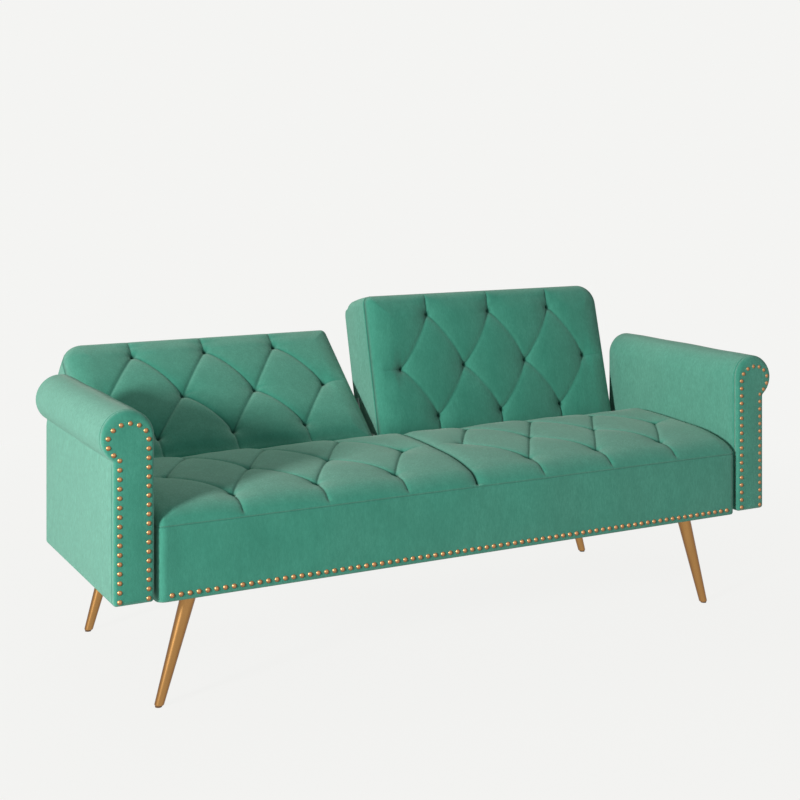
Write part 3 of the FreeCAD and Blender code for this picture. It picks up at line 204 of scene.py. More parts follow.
def grid_faces(rows, columns, first=0, ring=False):
    """Quads of a grid of points held row by row; a ring joins its last column to its first."""
    index = first + np.arange(rows * columns).reshape(rows, columns)
    if ring:
        index = np.concatenate([index, index[:, :1]], axis=1)
    return np.stack(
        [index[:-1, :-1], index[:-1, 1:], index[1:, 1:], index[1:, :-1]], axis=-1
    ).reshape(-1, 4).tolist()


def waver(first, second, size, seed):
    """A slow, even unevenness between about minus one and one, the same each time."""
    total = np.zeros(np.broadcast(first, second).shape)
    for wave in range(5):
        turn = seed + 2.4 * wave
        scale = 2.0 * math.pi / (size * (0.7 + 0.23 * wave))
        total += np.sin(scale * (first * math.cos(turn) + second * math.sin(turn)) + 1.7 * turn)
    return total / 3.2


def edge_drop(inside, radius):
    """How far a surface falls away towards a round edge, by the distance inside that edge."""
    turn_in = np.clip(radius - inside, 0.0, None)
    return radius - np.sqrt(np.clip(radius**2 - turn_in**2, 0.0, None))


def round_corner(first, second, first_mid, second_mid, first_side=1, second_side=1):
    """Draws places beyond a corner's middle on to a circle round it, in two directions."""
    first_off, second_off = (first - first_mid) * first_side, (second - second_mid) * second_side
    inside = (first_off > TINY) & (second_off > TINY)
    scale = np.maximum(first_off, second_off) / np.maximum(np.hypot(first_off, second_off), TINY)
    return (
        np.where(inside, first_mid + first_side * first_off * scale, first),
        np.where(inside, second_mid + second_side * second_off * scale, second),
    )


def sew_piece(name, points, faces, cover, body, replaced, shade=None):
    """Makes a padded piece from points and faces, in the frame's place, and puts it on its body."""
    mesh = bpy.data.meshes.new(name)
    mesh.from_pydata(np.asarray(points).tolist(), [], faces)
    shell = bmesh.new()
    shell.from_mesh(mesh)
    bmesh.ops.recalc_face_normals(shell, faces=shell.faces)
    shell.to_mesh(mesh)
    shell.free()
    mesh.shade_smooth()
    # The fold_shade attribute holds the painted shade that darkens the velvet in folds, pits and seams.
    if shade is not None:
        shade_sheen_and_wear = mesh.attributes.new("fold_shade", "FLOAT", "POINT")
        shade_sheen_and_wear.data.foreach_set("value", np.asarray(shade, np.float32))
    mesh.materials.append(cover)
    piece = bpy.data.objects.new(name, mesh)
    bpy.context.scene.collection.objects.link(piece)
    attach(piece, body)
    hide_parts(*replaced)
    return piece


# Cloth

CLOTH_FRAMES, CLOTH_PRESSURE = 20, 4.0


def press_cloth(points, held):
    """Moves of a cover, a grid of points, as cloth under an even pressure; its held points stay."""
    mesh = bpy.data.meshes.new("cover_cloth")
    mesh.from_pydata(points.reshape(-1, 3).tolist(), [], grid_faces(*points.shape[:2]))
    cloth = bpy.data.objects.new("cover_cloth", mesh)
    scene = bpy.context.scene
    scene.collection.objects.link(cloth)
    sewn = cloth.vertex_groups.new(name="sewn")
    sewn.add(np.flatnonzero(held).tolist(), 1.0, "REPLACE")
    settings = cloth.modifiers.new("cover", "CLOTH").settings
    settings.quality, settings.mass = 6, 0.2
    settings.tension_stiffness = settings.compression_stiffness = 22.0
    settings.shear_stiffness, settings.bending_stiffness = 8.0, 0.6
    settings.use_pressure, settings.uniform_pressure_force = True, CLOTH_PRESSURE
    settings.vertex_group_mass = "sewn"
    settings.effector_weights.gravity = 0.0
    for number in range(1, CLOTH_FRAMES + 1):
        scene.frame_set(number)
    swollen = cloth.evaluated_get(bpy.context.evaluated_depsgraph_get()).data
    flat = np.zeros(3 * len(mesh.vertices), np.float32)
    swollen.vertices.foreach_get("co", flat)
    bpy.data.objects.remove(cloth)
    bpy.data.meshes.remove(mesh)
    scene.frame_set(1)
    return flat.reshape(points.shape) - points


def fill_rows(values, kept, count):
    """Carries values that are known at kept rows to all the rows between them."""
    known = values.reshape(len(kept), -1)
    filled = np.stack([np.interp(np.arange(count), kept, column) for column in known.T], axis=-1)
    return filled.reshape(count, *values.shape[1:])


def plump(points, held, most, step):
    """Moves by which a cover, a grid of points, swells where it isn't held, found at every few points."""
    rows, columns = held.shape
    kept_rows, kept_columns = (np.unique(np.append(np.arange(0, n, step), n - 1)) for n in (rows, columns))
    picked = np.ix_(kept_rows, kept_columns)
    moves = press_cloth(points[picked], held[picked])
    reach = np.linalg.norm(moves, axis=-1, keepdims=True)
    moves *= most * np.tanh(reach / most) / np.maximum(reach, TINY)
    moves = fill_rows(moves.swapaxes(0, 1), kept_columns, columns).swapaxes(0, 1)
    return fill_rows(moves, kept_rows, rows)


# Tufting

STRAIGHT = (0.0, 0.0)
CROSS_WEIGHTS, EDGE_WEIGHTS, SIDE_WEIGHTS = (1.0, 0.68, 1.0), (1.0, 0.8, 0.6), (0.8, 0.35, 0.0)
LAP_TURN, LAP_REACH = 0.0008, 0.005
FOLD_SHADE_REACH, TUFT_SHADE_REACH = 0.0022, 0.0065
SEWN_SHARE = 0.30


def tuft_rows(centre, pitch, rows):
    """Tufts of a panel in rows of three, four and three."""
    steps = ((-1.0, 0.0, 1.0), (-1.5, -0.5, 0.5, 1.5), (-1.0, 0.0, 1.0))
    return [[(centre + step * pitch, row) for step in across] for across, row in zip(steps, rows)]


def panel_folds(tufts, pitch, edges, sides, rising_bow=STRAIGHT, falling_bow=STRAIGHT):
    """Folds of a panel as (start, end, weights at start, middle and end, bow at the middle)."""
    low, middle, high = tufts
    folds = []
    for tuft in low + high:
        for other in middle:
            if abs(other[0] - tuft[0]) < 0.75 * pitch:
                rising = (other[0] - tuft[0]) * (other[1] - tuft[1]) > 0.0
                folds.append((tuft, other, CROSS_WEIGHTS, rising_bow if rising else falling_bow))
    for row, edge in zip((low, high), edges):
        folds += [(tuft, (tuft[0], edge), EDGE_WEIGHTS, STRAIGHT) for tuft in row]
    for tuft, side in zip((middle[0], middle[-1]), sides):
        folds.append((tuft, (side, tuft[1]), SIDE_WEIGHTS, STRAIGHT))
    return folds


def near_fold(across, along, start, end, bow):
    """How far each place lies from a bowed fold, how far to its right, and at which share of its length."""
    run = np.subtract(end, start)
    part = ((across - start[0]) * run[0] + (along - start[1]) * run[1]) / run.dot(run)
    part = np.clip(part, 0.0, 1.0)
    bend = 4.0 * part * (1.0 - part)
    beside = across - start[0] - part * run[0] - bend * bow[0]
    return np.hypot(beside, along - start[1] - part * run[1] - bend * bow[1]), beside, part


def fold_weight(part, first, middle, last):
    """A smooth curve through a fold's weights at its start, middle and end."""
    return first + part * (4.0 * middle - 3.0 * first - last) + part**2 * 2.0 * (first + last - 2.0 * middle)


def tufted_relief(across, along, tufts, folds, tufting, row_weights=(1.0, 1.0, 1.0)):
    """The cover's soft and sharp sinking below its puffs, the painted shade in its folds and pits, and its
    share of a fold.
    """
    shape = np.broadcast(across, along).shape
    sharp, broad, dimple = np.ones(shape), np.ones(shape), np.ones(shape)
    lap, pits, dark = np.zeros(shape), np.zeros(shape), np.zeros(shape)
    for start, end, weights, bow in folds:
        away, beside, part = near_fold(across, along, start, end, bow)
        weight = fold_weight(part, *weights)
        sharp *= 1.0 - weight * np.exp(-away / tufting.fold_reach)
        broad *= 1.0 - weight * np.exp(-((away / tufting.shoulder_reach) ** 1.3))
        lap += np.tanh(beside / LAP_TURN) * weight * np.exp(-away / LAP_REACH)
        # Painted shade along each fold, strongest near the tufts.
        near_tuft = 0.36 + 0.64 * np.exp(-np.minimum(part, 1.0 - part) / 0.16)
        dark = np.maximum(dark, near_tuft * weight * np.exp(-((away / FOLD_SHADE_REACH) ** 2)))
    for row, weight in zip(tufts, row_weights):
        for place in row:
            away = np.hypot(across - place[0], along - place[1])
            dimple *= 1.0 - weight * np.exp(-((away / tufting.dimple_reach) ** 1.15))
            pits += weight * np.exp(-((away / tufting.pit_reach) ** 1.4))
            # Painted shade in each tuft's pit.
            dark = np.maximum(dark, 1.25 * np.exp(-((away / TUFT_SHADE_REACH) ** 2)))
    soft = tufting.shoulder_depth * (1.0 - broad) + tufting.dimple_depth * (1.0 - dimple)
    crisp = tufting.fold_depth * (1.0 - sharp) + tufting.fold_lap * lap
    crisp += tufting.pit_depth * np.clip(pits, 0.0, 1.0)
    return soft, crisp, np.clip(dark, 0.0, 1.0), 1.0 - sharp


# Seat

SEAT_ROW_WEIGHTS = (1.0, 0.85, 0.65)
HEM_LENGTH, HEM_TURN = 0.010, 0.003
FALL_POWER = 1.25
GUTTER_DEPTH, GUTTER_REACH = 0.010, 0.015
CENTRE_DEPTH, CENTRE_REACH, CENTRE_SHADE_REACH = 0.006, 0.0028, 0.004


class SeatSection:
    """The seat's section from its front hem over its top to its rear hem, by the distance along it."""

    def __init__(self, shapes, tufting):
        front, rear, top, seam = SEAT_LOW[1], SEAT_HIGH[1], SEAT_HIGH[2], shapes.seat_seam
        depth, height = self.trace(shapes, front + tufting.seat_rear_row)
        rise = ease(tufting.seat_front_row - 0.06, tufting.seat_rear_row, depth - front) - 0.45
        ahead_of_edge = depth < rear - shapes.seat_rear_radius
        height = height + shapes.seat_tilt * rise * ease(seam, top, height) * ahead_of_edge
        step = np.hypot(np.diff(depth), np.diff(height))
        kept = np.append(True, step > TINY)
        self.run = np.append(0.0, np.cumsum(step))[kept]
        self.depth, self.height = depth[kept], height[kept]
        along_y, along_z = np.gradient(self.depth, self.run), np.gradient(self.height, self.run)
        steep = np.hypot(along_y, along_z)
        upright = (self.height < seam) & (self.depth < 0.0)
        self.out_y = np.where(upright, -1.0, -along_z / steep)
        self.out_z = np.where(upright, 0.0, along_y / steep)
        on_front, before_rear = self.depth < front + 1e-6, self.depth < rear - 1e-6
        self.at_seam = float(np.interp(seam, self.height[on_front], self.run[on_front]))
        self.at_rear = float(self.run[before_rear][-1])
        on_top = (self.run > self.at_seam) & before_rear
        rows = (tufting.seat_front_row, tufting.seat_middle_row, tufting.seat_rear_row)
        self.rows = [float(np.interp(front + row, self.depth[on_top], self.run[on_top])) for row in rows]

    @staticmethod
    def trace(shapes, crest):
        """Depths and heights of the hem, its turn, the front, crown, top, fall, rear edge and rear."""
        front, rear, bottom, top = SEAT_LOW[1], SEAT_HIGH[1], SEAT_LOW[2], SEAT_HIGH[2]
        seam, crown = shapes.seat_seam, shapes.seat_crown
        fall, edge = shapes.seat_fall, shapes.seat_rear_radius
        first_turn = math.atan(FALL_POWER * fall / (rear - edge - crest))
        fall_end = rear - edge * (1 - math.sin(first_turn))
        edge_z = top - fall - edge * math.cos(first_turn)
        share, turn = np.linspace(0.0, 1.0, 60), np.linspace(0.0, QUARTER, 60)
        last_turn = first_turn + (QUARTER - first_turn) * share
        stretches = (
            (front + HEM_LENGTH - (HEM_LENGTH - HEM_TURN) * share, bottom + 0 * share),
            (front + HEM_TURN * (1 - np.sin(turn)), bottom + HEM_TURN * (1 - np.cos(turn))),
            (front + 0 * share, bottom + HEM_TURN + (seam - bottom - HEM_TURN) * share),
            (front + crown * (1 - np.cos(turn)), seam + (top - seam) * np.sin(turn)),
            (front + crown + (crest - front - crown) * share, top + 0 * share),
            (crest + (fall_end - crest) * share, top - fall * share**FALL_POWER),
            (rear - edge * (1 - np.sin(last_turn)), edge_z + edge * np.cos(last_turn)),
            (rear + 0 * share, edge_z + (shapes.seat_rear_bottom - edge_z) * share),
        )
        return (np.concatenate([stretch[axis] for stretch in stretches]) for axis in range(2))

    def spread(self, across, along, first, second):
        """A grid of vectors from values across it and two values of the section along it."""
        return np.stack([across, *(np.interp(along, self.run, value) for value in (first, second))], axis=-1)


def seat_relief(section, across, along, tufting):
    """The tufted relief of the seat's two panels, each with its own tufts."""
    relief = [np.zeros_like(across) for _ in range(4)]
    for _, side in SIDES:
        tufts = tuft_rows(side * tufting.seat_centre, tufting.seat_pitch, section.rows)
        ends = sorted((side * 0.012, side * (SEAT_HIGH[0] - 0.010)))
        folds = panel_folds(tufts, tufting.seat_pitch, (section.at_seam, section.at_rear), ends)
        panel = tufted_relief(across, along, tufts, folds, tufting, SEAT_ROW_WEIGHTS)
        ours = np.sign(across + TINY) == side
        relief = [np.where(ours, new, old) for new, old in zip(panel, relief)]
    return relief


def close_seat(rows, columns):
    """Faces of the seat's two ends, from its front rows to its rear ones, and of its underside."""
    faces = []
    for column in (0, columns - 1):
        for near in range((rows - 1) // 2):
            far = rows - 1 - near
            rungs = [near, near + 1, far - 1, far] if far - 1 != near + 1 else [near, near + 1, far]
            faces.append([rung * columns + column for rung in rungs])
    front_hem, rear_hem = range(columns), range((rows - 1) * columns, rows * columns)
    return faces + [[*front_hem, *reversed(rear_hem)]]


def build_seat(context):
    """The long seat: boxed front, tufted top in two panels, and rounded ends, as one closed cushion."""
    shapes, tufting = context.scene.sofa_shapes, context.scene.sofa_tufting
    section = SeatSection(shapes, tufting)
    at_seam, at_rear, at_crest = section.at_seam, section.at_rear, section.rows[-1]
    half, wide = SEAT_HIGH[0], shapes.seam_width
    stops = [(0.0, 0.004), (0.012, 0.008), (at_seam - 0.012, 0.003), (at_seam - 2.4 * wide, 0.5 * wide)]
    stops += [(at_seam + 2.4 * wide, shapes.grid), (at_rear, 0.008), (section.run[-1], 1.0)]
    rows = rows_between(stops)
    columns = rounded_rows(-half, half, shapes.seat_end_radius, shapes.grid, (0.0,), 0.0022)
    along, across = np.meshgrid(rows, columns, indexing="ij")
    from_seam, from_end = along - at_seam, half - np.abs(across)
    soft, crisp, deep, folded = seat_relief(section, across, along, tufting)
    on_panel = ease(0.0, 0.05, from_seam) * ease(0.0, 0.045, from_end)
    on_panel *= 1.0 - ease(at_crest - 0.02, at_rear - 0.03, along)
    on_fold = ease(0.001, 0.02, from_seam) * ease(0.004, 0.03, from_end)
    on_fold *= 1.0 - ease(at_crest + 0.005, at_crest + 0.06, along)
    on_centre = ease(0.0, 0.01, from_seam)
    lift = (tufting.puff * on_panel - soft * on_fold) * tufting.seat_share
    lift -= GUTTER_DEPTH * on_centre * np.exp(-np.abs(across) / GUTTER_REACH)
    lift += 0.0016 * waver(across, along, 0.26, 0.4) * ease(0.0, 0.05, from_end) * ease(0.02, 0.06, along)
    lift -= edge_drop(from_end, shapes.seat_end_radius)
    outward = section.spread(0 * across, along, section.out_y, section.out_z)
    grid = section.spread(across, along, section.depth, section.height) + outward * lift[..., None]
    held = (folded > SEWN_SHARE) | (from_seam < 0.006) | (along > at_rear - 0.02)
    held |= (from_end < 0.02) | (np.abs(across) < 0.005)
    grid += plump(grid, held, tufting.seat_swell, 3)
    sewn = crisp * on_fold + CENTRE_DEPTH * on_centre * np.exp(-((across / CENTRE_REACH) ** 2))
    sewn += shapes.seam_depth * np.exp(-((from_seam / wide) ** 2))
    points = (grid - outward * sewn[..., None]).reshape(-1, 3)
    # Painted shade: along the folds and in the pits, in the gutter between the two panels and along the
    # front seam.
    deep = deep * on_fold + 0.9 * on_centre * np.exp(-((across / CENTRE_SHADE_REACH) ** 2))
    deep += 0.28 * np.exp(-((from_seam / (0.9 * wide)) ** 2))
    faces = grid_faces(len(rows), len(columns)) + close_seat(len(rows), len(columns))
    return points, faces, np.clip(deep, 0.0, 1.0).ravel()


# Backs

BACK_SMALL_CORNERS = {(-1, 1): 0.020, (1, -1): 0.024, (-1, -1): 0.024}
BOXING_BULGE, BOXING_TURN = 0.0022, 0.008
BULGE_RISE = (0.16, 0.24)
REAR_INSET, REAR_SHRINKS = 0.002, (0.985, 0.93, 0.8, 0.6, 0.35)


def round_corners(across, up, box, radii):
    """Moves a rectangle's places so that its four corners (inner and outer, bottom and top) are round."""
    low, high, bottom, top = box
    for (x_side, u_side), radius in radii.items():
        x_mid = high - radius if x_side > 0 else low + radius
        u_mid = top - radius if u_side > 0 else bottom + radius
        across, up = round_corner(across, up, x_mid, u_mid, x_side, u_side)
    return across, up


def edge_distance(across, up, box, radii):
    """How far each place of a round-cornered rectangle lies inside its edge."""
    low, high, bottom, top = box
    x_mid, u_mid = 0.5 * (low + high), 0.5 * (bottom + top)
    x_at, u_at = np.sign(across - x_mid + TINY), np.sign(up - u_mid + TINY)
    radius = np.zeros_like(across)
    for (x_side, u_side), size in radii.items():
        radius = np.where((x_at == x_side) & (u_at == u_side), size, radius)
    x_out = np.abs(across - x_mid) - 0.5 * (high - low) + radius
    u_out = np.abs(up - u_mid) - 0.5 * (top - bottom) + radius
    outside = np.hypot(np.clip(x_out, 0.0, None), np.clip(u_out, 0.0, None))
    return radius - outside - np.minimum(np.maximum(x_out, u_out), 0.0)


def back_panel(shapes, tufting, side):
    """A back's tufted front panel, a grid of points about the hinge line, and its shade."""
    box = (shapes.back_inner, shapes.back_outer, shapes.back_bottom, shapes.back_top)
    low, high, bottom, top = box
    edge = shapes.back_edge
    radii = {(1, 1): shapes.back_corner, **BACK_SMALL_CORNERS}
    columns, rows = rounded_rows(low, high, edge, shapes.grid), rounded_rows(bottom, top, edge, shapes.grid)
    up, across = np.meshgrid(rows, columns, indexing="ij")
    across, up = round_corners(across, up, box, radii)
    inside = np.clip(edge_distance(across, up, box, radii), 0.0, None)
    places = (tufting.back_bottom_row, tufting.back_middle_row, tufting.back_top_row)
    tufts = tuft_rows(tufting.back_centre, tufting.back_pitch, places)
    bow = tufting.fold_bow
    bows = ((bow, 0.0), (bow, 0.0)) if side > 0 else ((-0.8 * bow, 0.6 * bow), STRAIGHT)
    folds = panel_folds(tufts, tufting.back_pitch, (bottom, top), (low + 0.014, high - 0.014), *bows)
    soft, crisp, deep, folded = tufted_relief(across, up, tufts, folds, tufting)
    lift = tufting.puff * ease(0.0, 0.06, inside) * (0.15 + 0.85 * ease(0.0, 0.09, up - bottom))
    lift -= soft * ease(0.002, 0.034, inside)
    lift += 0.0013 * waver(across, up, 0.24, 0.9 + side) * ease(0.0, 0.05, inside)
    panel = np.stack([across, edge_drop(inside, edge) - shapes.back_front - lift, up], axis=-1)
    held = (folded > SEWN_SHARE) | (inside < 0.010) | (up < bottom + 0.06)
    panel += plump(panel, held, tufting.swell, 3)
    panel[..., 1] += crisp * ease(0.001, 0.016, inside)
    # Painted shade along the folds and in the pits, and a painted dark line along the panel's sewn edge.
    deep *= ease(0.001, 0.012, inside)
    return panel, np.maximum(deep, 0.8 * np.exp(-((inside / 0.0016) ** 2)))


def boxing_rings(shapes):
    """A back's boxing as (depth, bulge, shade), from the front seam to the turn at the rear."""
    seam, rear, turn = shapes.back_edge - shapes.back_front, shapes.back_rear, BOXING_TURN
    rings = []
    # The seam's rings carry painted shade, darkest in the seam's middle.
    for step in (0.0, 0.5, 1.0, 1.6, 2.6):
        sunk = math.exp(-(step**2))
        rings.append((seam + shapes.seam_width * step, -shapes.seam_depth * sunk, 0.7 * sunk))
    for part in np.linspace(0.08, 1.0, 12):
        rings.append((seam + (rear - turn - seam) * part, BOXING_BULGE * math.sin(math.pi * part), 0.0))
    for a in np.linspace(0.3, QUARTER, 5):
        rings.append((rear - turn * (1 - math.sin(a)), -turn * (1 - math.cos(a)), 0.0))
    return rings


def build_back(context, side, lean):
    """One back: tufted front panel, boxing round its edge and a plain rear, leant about the hinge line."""
    shapes = context.scene.sofa_shapes
    panel, deep = back_panel(shapes, context.scene.sofa_tufting, side)
    rows, columns = deep.shape
    index = np.arange(rows * columns).reshape(rows, columns)
    loop = np.concatenate([index[0, :-1], index[:-1, -1], index[-1, :0:-1], index[:0:-1, 0]])
    front, front_shade = panel.reshape(-1, 3), deep.ravel()
    edge = front[loop][:, (0, 2)]
    along = np.roll(edge, -1, axis=0) - np.roll(edge, 1, axis=0)
    outward = np.stack([along[:, 1], -along[:, 0]], axis=-1) / np.linalg.norm(along, axis=1)[:, None]
    clear = ease(*BULGE_RISE, edge[:, 1])[:, None]
    rings = []
    for depth, bulge, dark in boxing_rings(shapes):
        rings.append((edge + outward * (bulge * clear if bulge > 0.0 else bulge), depth, dark))
    last = rings[-1][0]
    middle = 0.5 * np.array([shapes.back_inner + shapes.back_outer, shapes.back_bottom + shapes.back_top])
    for shrink in REAR_SHRINKS:
        rings.append((middle + (last - middle) * shrink, shapes.back_rear - REAR_INSET, 0.0))
    placed = [np.insert(place, 1, depth, axis=1) for place, depth, _ in rings]
    front[loop], front_shade[loop] = placed[0], rings[0][2]
    points = np.concatenate([front, *placed[1:]])
    start, count = len(front), len(loop)
    shade = np.concatenate([front_shade, *(np.full(count, dark) for _, _, dark in rings[1:])])
    here, following = np.arange(count), np.roll(np.arange(count), -1)
    lead = np.stack([loop, loop[following], start + following, start + here], axis=-1)
    faces = grid_faces(rows, columns) + lead.tolist() + grid_faces(len(rings) - 1, count, start, ring=True)
    faces.append(list(range(len(points) - count, len(points))))
    rear_mid, top_mid = shapes.back_rear - shapes.back_rear_edge, shapes.back_top - shapes.back_rear_edge
    behind, up = round_corner(points[:, 1], points[:, 2], rear_mid, top_mid)
    sine, cosine = math.sin(lean), math.cos(lean)
    depth, height = HINGE[1] + behind * cosine + up * sine, HINGE[2] - behind * sine + up * cosine
    return np.stack([side * points[:, 0], depth, height], axis=-1), faces, np.clip(shade, 0.0, 1.0)


# Arms

ARM_CORNER, ARM_JOIN = 0.008, 0.007
ARM_REAR_TURN, ARM_HEM, FACING_GAP = 0.016, 0.02, 0.0002
CREASE_DEPTH, CREASE_REACH = 0.0015, 0.006
ARM_SWELL, FACING_PUFF = 0.002, 0.0016


def arm_outline(shapes, inner, bottom):
    """An arm's outline from the front, from the bottom's middle: inner face, roll, join and outer side."""
    radius, middle_z, outer = shapes.roll_radius, shapes.roll_height, shapes.arm_outer
    corner, join = ARM_CORNER, ARM_JOIN
    middle_x = inner + radius
    join_x = outer + join
    join_z = middle_z - math.sqrt((radius + join) ** 2 - (join_x - middle_x) ** 2)
    meet = math.atan2(join_z - middle_z, join_x - middle_x)
    parts = []

    def straight(x0, z0, x1, z1, out_x, out_z, count):
        t = np.linspace(0.0, 1.0, count, endpoint=False)
        x, z = x0 + (x1 - x0) * t, z0 + (z1 - z0) * t
        parts.append(np.stack([x, z, out_x + 0 * t, out_z + 0 * t], axis=-1))

    def arc(x, z, size, start, stop, sign, count):
        turn = np.linspace(start, stop, count, endpoint=False)
        x_part, z_part = np.cos(turn), np.sin(turn)
        parts.append(np.stack([x + size * x_part, z + size * z_part, sign * x_part, sign * z_part], axis=-1))

    base_x = 0.5 * (inner + outer)
    straight(base_x, bottom, inner + corner, bottom, 0.0, -1.0, 8)
    arc(inner + corner, bottom + corner, corner, 3 * QUARTER, 2 * QUARTER, 1.0, 8)
    straight(inner, bottom + corner, inner, middle_z, -1.0, 0.0, 64)
    arc(middle_x, middle_z, radius, 2 * QUARTER, QUARTER, 1.0, 28)
    arc(middle_x, middle_z, radius, QUARTER, meet, 1.0, 44)
    arc(join_x, join_z, join, meet + math.pi, math.pi, -1.0, 6)
    straight(outer, join_z, outer, bottom + corner, 1.0, 0.0, 42)
    arc(outer - corner, bottom + corner, corner, 0.0, -QUARTER, 1.0, 8)
    straight(outer - corner, bottom, base_x, bottom, 0.0, -1.0, 8)
    return np.concatenate(parts), (outer, join_z)


def sweep_outline(outline, rings):
    """Points and faces of an outline carried along a list of (depth, inset)."""
    x, z, out_x, out_z = outline.T
    points = []
    for depth, inset in rings:
        points.append(np.stack([x - out_x * inset, 0 * x + depth, z - out_z * inset], axis=-1))
    return np.concatenate(points), grid_faces(len(rings), len(outline), ring=True)


def close_end(points, faces, start, count, columns, swell):
    """Closes one end of a swept outline with rows of quads from its inner to its outer half."""
    half = count // 2
    added, grid = [], []
    for k in range(1, half):
        near, far = points[start + k], points[start + count - k]
        row = [start + k]
        for part in np.arange(1, columns) / columns:
            bulge = swell * math.sin(math.pi * part) ** 0.7 * math.sin(math.pi * k / half) ** 0.3
            row.append(len(points) + len(added))
            added.append(near + (far - near) * part + np.array([0.0, bulge, 0.0]))
        grid.append(row + [start + count - k])
    quads = []
    for upper, lower in zip(grid, grid[1:]):
        quads += [[upper[c], upper[c + 1], lower[c + 1], lower[c]] for c in range(columns)]
    ends = [[start, *reversed(grid[0])], [start + half, *grid[-1]]]
    return np.concatenate([points, added]), faces + quads + ends


def build_arm(context):
    """One right arm's padded cover, without its facing."""
    outline, join = arm_outline(context.scene.sofa_shapes, ARM_LOW[0], ARM_LOW[2])
    front, rear, hem = FACING_HIGH[1] + FACING_GAP, ARM_HIGH[1], ARM_LOW[2] + ARM_HEM
    rings = [(depth, 0.0) for depth in np.linspace(front, rear - ARM_REAR_TURN, 88)[:-1]]
    for turn in np.linspace(QUARTER, 0.1, 7):
        rings.append((rear - ARM_REAR_TURN * (1 - math.cos(turn)), ARM_REAR_TURN * (1 - math.sin(turn))))
    points, faces = sweep_outline(outline, rings)
    count = len(outline)
    out_x, out_z = np.tile(outline[:, 2:4], (len(rings), 1)).T
    depth = points[:, 1]
    middle = ease(front, front + 0.06, depth) * (1.0 - ease(rear - 0.08, rear, depth))
    turned = np.tile(np.arange(count) / count, len(rings))
    swell = 0.0014 * waver(turned * 1.1, depth, 0.30, 1.3) + 0.0006
    crease = np.exp(-((np.hypot(points[:, 0] - join[0], points[:, 2] - join[1]) / CREASE_REACH) ** 2))
    lift = np.clip(swell * middle, -0.002, 0.003) * (points[:, 2] > hem) - CREASE_DEPTH * crease
    points[:, 0] += out_x * lift
    points[:, 2] += out_z * lift
    held = (depth < front + 0.012) | (depth > rear - 0.03) | (crease > 0.3) | (points[:, 2] < hem)
    grid = points.reshape(len(rings), count, 3)
    points = (grid + plump(grid, held.reshape(len(rings), count), ARM_SWELL, 2)).reshape(-1, 3)
    for ring in (0, len(rings) - 1):
        points, faces = close_end(points, faces, ring * count, count, 8, 0.0)
    return points, faces


def build_facing(context):
    """One right arm's facing panel, with soft edges and a slightly puffed front."""
    shapes = context.scene.sofa_shapes
    outline, _ = arm_outline(shapes, FACING_LOW[0], FACING_LOW[2])
    front, rear, count = FACING_LOW[1], FACING_HIGH[1], len(outline)
    upward = np.clip(outline[:, 3], 0.0, 1.0) ** 1.5
    edge = shapes.facing_edge + (shapes.roll_edge - shapes.facing_edge) * upward
    turn = (rear - front) * (0.6 + 0.4 * upward)
    rings = [(rear, 0.0)]
    for part in np.linspace(0.02, QUARTER, 11):
        rings.append((front + turn * (1 - math.sin(part)), edge * (1 - math.cos(part))))
    points, faces = sweep_outline(outline, rings)
    points, faces = close_end(points, faces, 0, count, 8, 0.0)
    return close_end(points, faces, (len(rings) - 1) * count, count, 16, -FACING_PUFF)


# Dust sheet

PLATE_ROOM, LINE_ROOM = 0.002, 0.004
SHEET_SAG, SHEET_PUCKER, SHEET_TACKS = 0.005, 0.0008, 26.0


def leg_windows():
    """Lowest and highest corners of the windows cut round the leg plates."""
    windows = []
    for name in nodes_ending("_leg"):
        leg = frame["nodes"][name]
        places = np.array([leg.matrix_world @ vertex.co for vertex in leg.data.vertices])
        plate = places[places[:, 2] > SHEET_HIGH[2] - 0.002, :2]
        windows.append((plate.min(axis=0) - PLATE_ROOM, plate.max(axis=0) + PLATE_ROOM))
    return windows


def build_dust_sheet():
    """The thin cloth tacked below the frame: it sags a little and is cut out round the leg plates."""
    low, high, windows = SHEET_LOW, SHEET_HIGH, leg_windows()
    lines = []
    for axis, count in enumerate((90, 40)):
        corners = [corner[axis] for window in windows for corner in window]
        cuts = [place for place in corners if low[axis] < place < high[axis]]
        even = np.linspace(low[axis], high[axis], count)
        even = even[[min(abs(place - cut) for cut in cuts) > LINE_ROOM for place in even]]
        lines.append(np.unique(np.round(np.concatenate([even, cuts]), 5)))
    across, along = np.meshgrid(*lines, indexing="ij")
    share_x, share_y = (across - low[0]) / (high[0] - low[0]), (along - low[1]) / (high[1] - low[1])
    sag = SHEET_SAG * np.sin(math.pi * share_x) * np.sin(math.pi * share_y) ** 0.6
    pucker = SHEET_PUCKER * np.abs(np.sin(SHEET_TACKS * math.pi * share_x))
    sag += pucker * np.exp(-np.minimum(share_y, 1.0 - share_y) / 0.04)
    points = np.stack([across, along, low[2] - sag], axis=-1).reshape(-1, 3)
    faces, area = [], 0.0
    for face in grid_faces(*across.shape):
        middle = points[face].mean(axis=0)[:2]
        if not any((first < middle).all() and (middle < last).all() for first, last in windows):
            faces.append(face)
            area += float(np.prod(np.ptp(points[face][:, :2], axis=0)))
    return points, faces, (high[0] - low[0], high[1] - low[1]), area


# Finishes

# Painted darker reflection at a metal's rim, as a share of its colour.
RIM_REFLECTION_SHADE = (0.26, 0.13, 0.07)


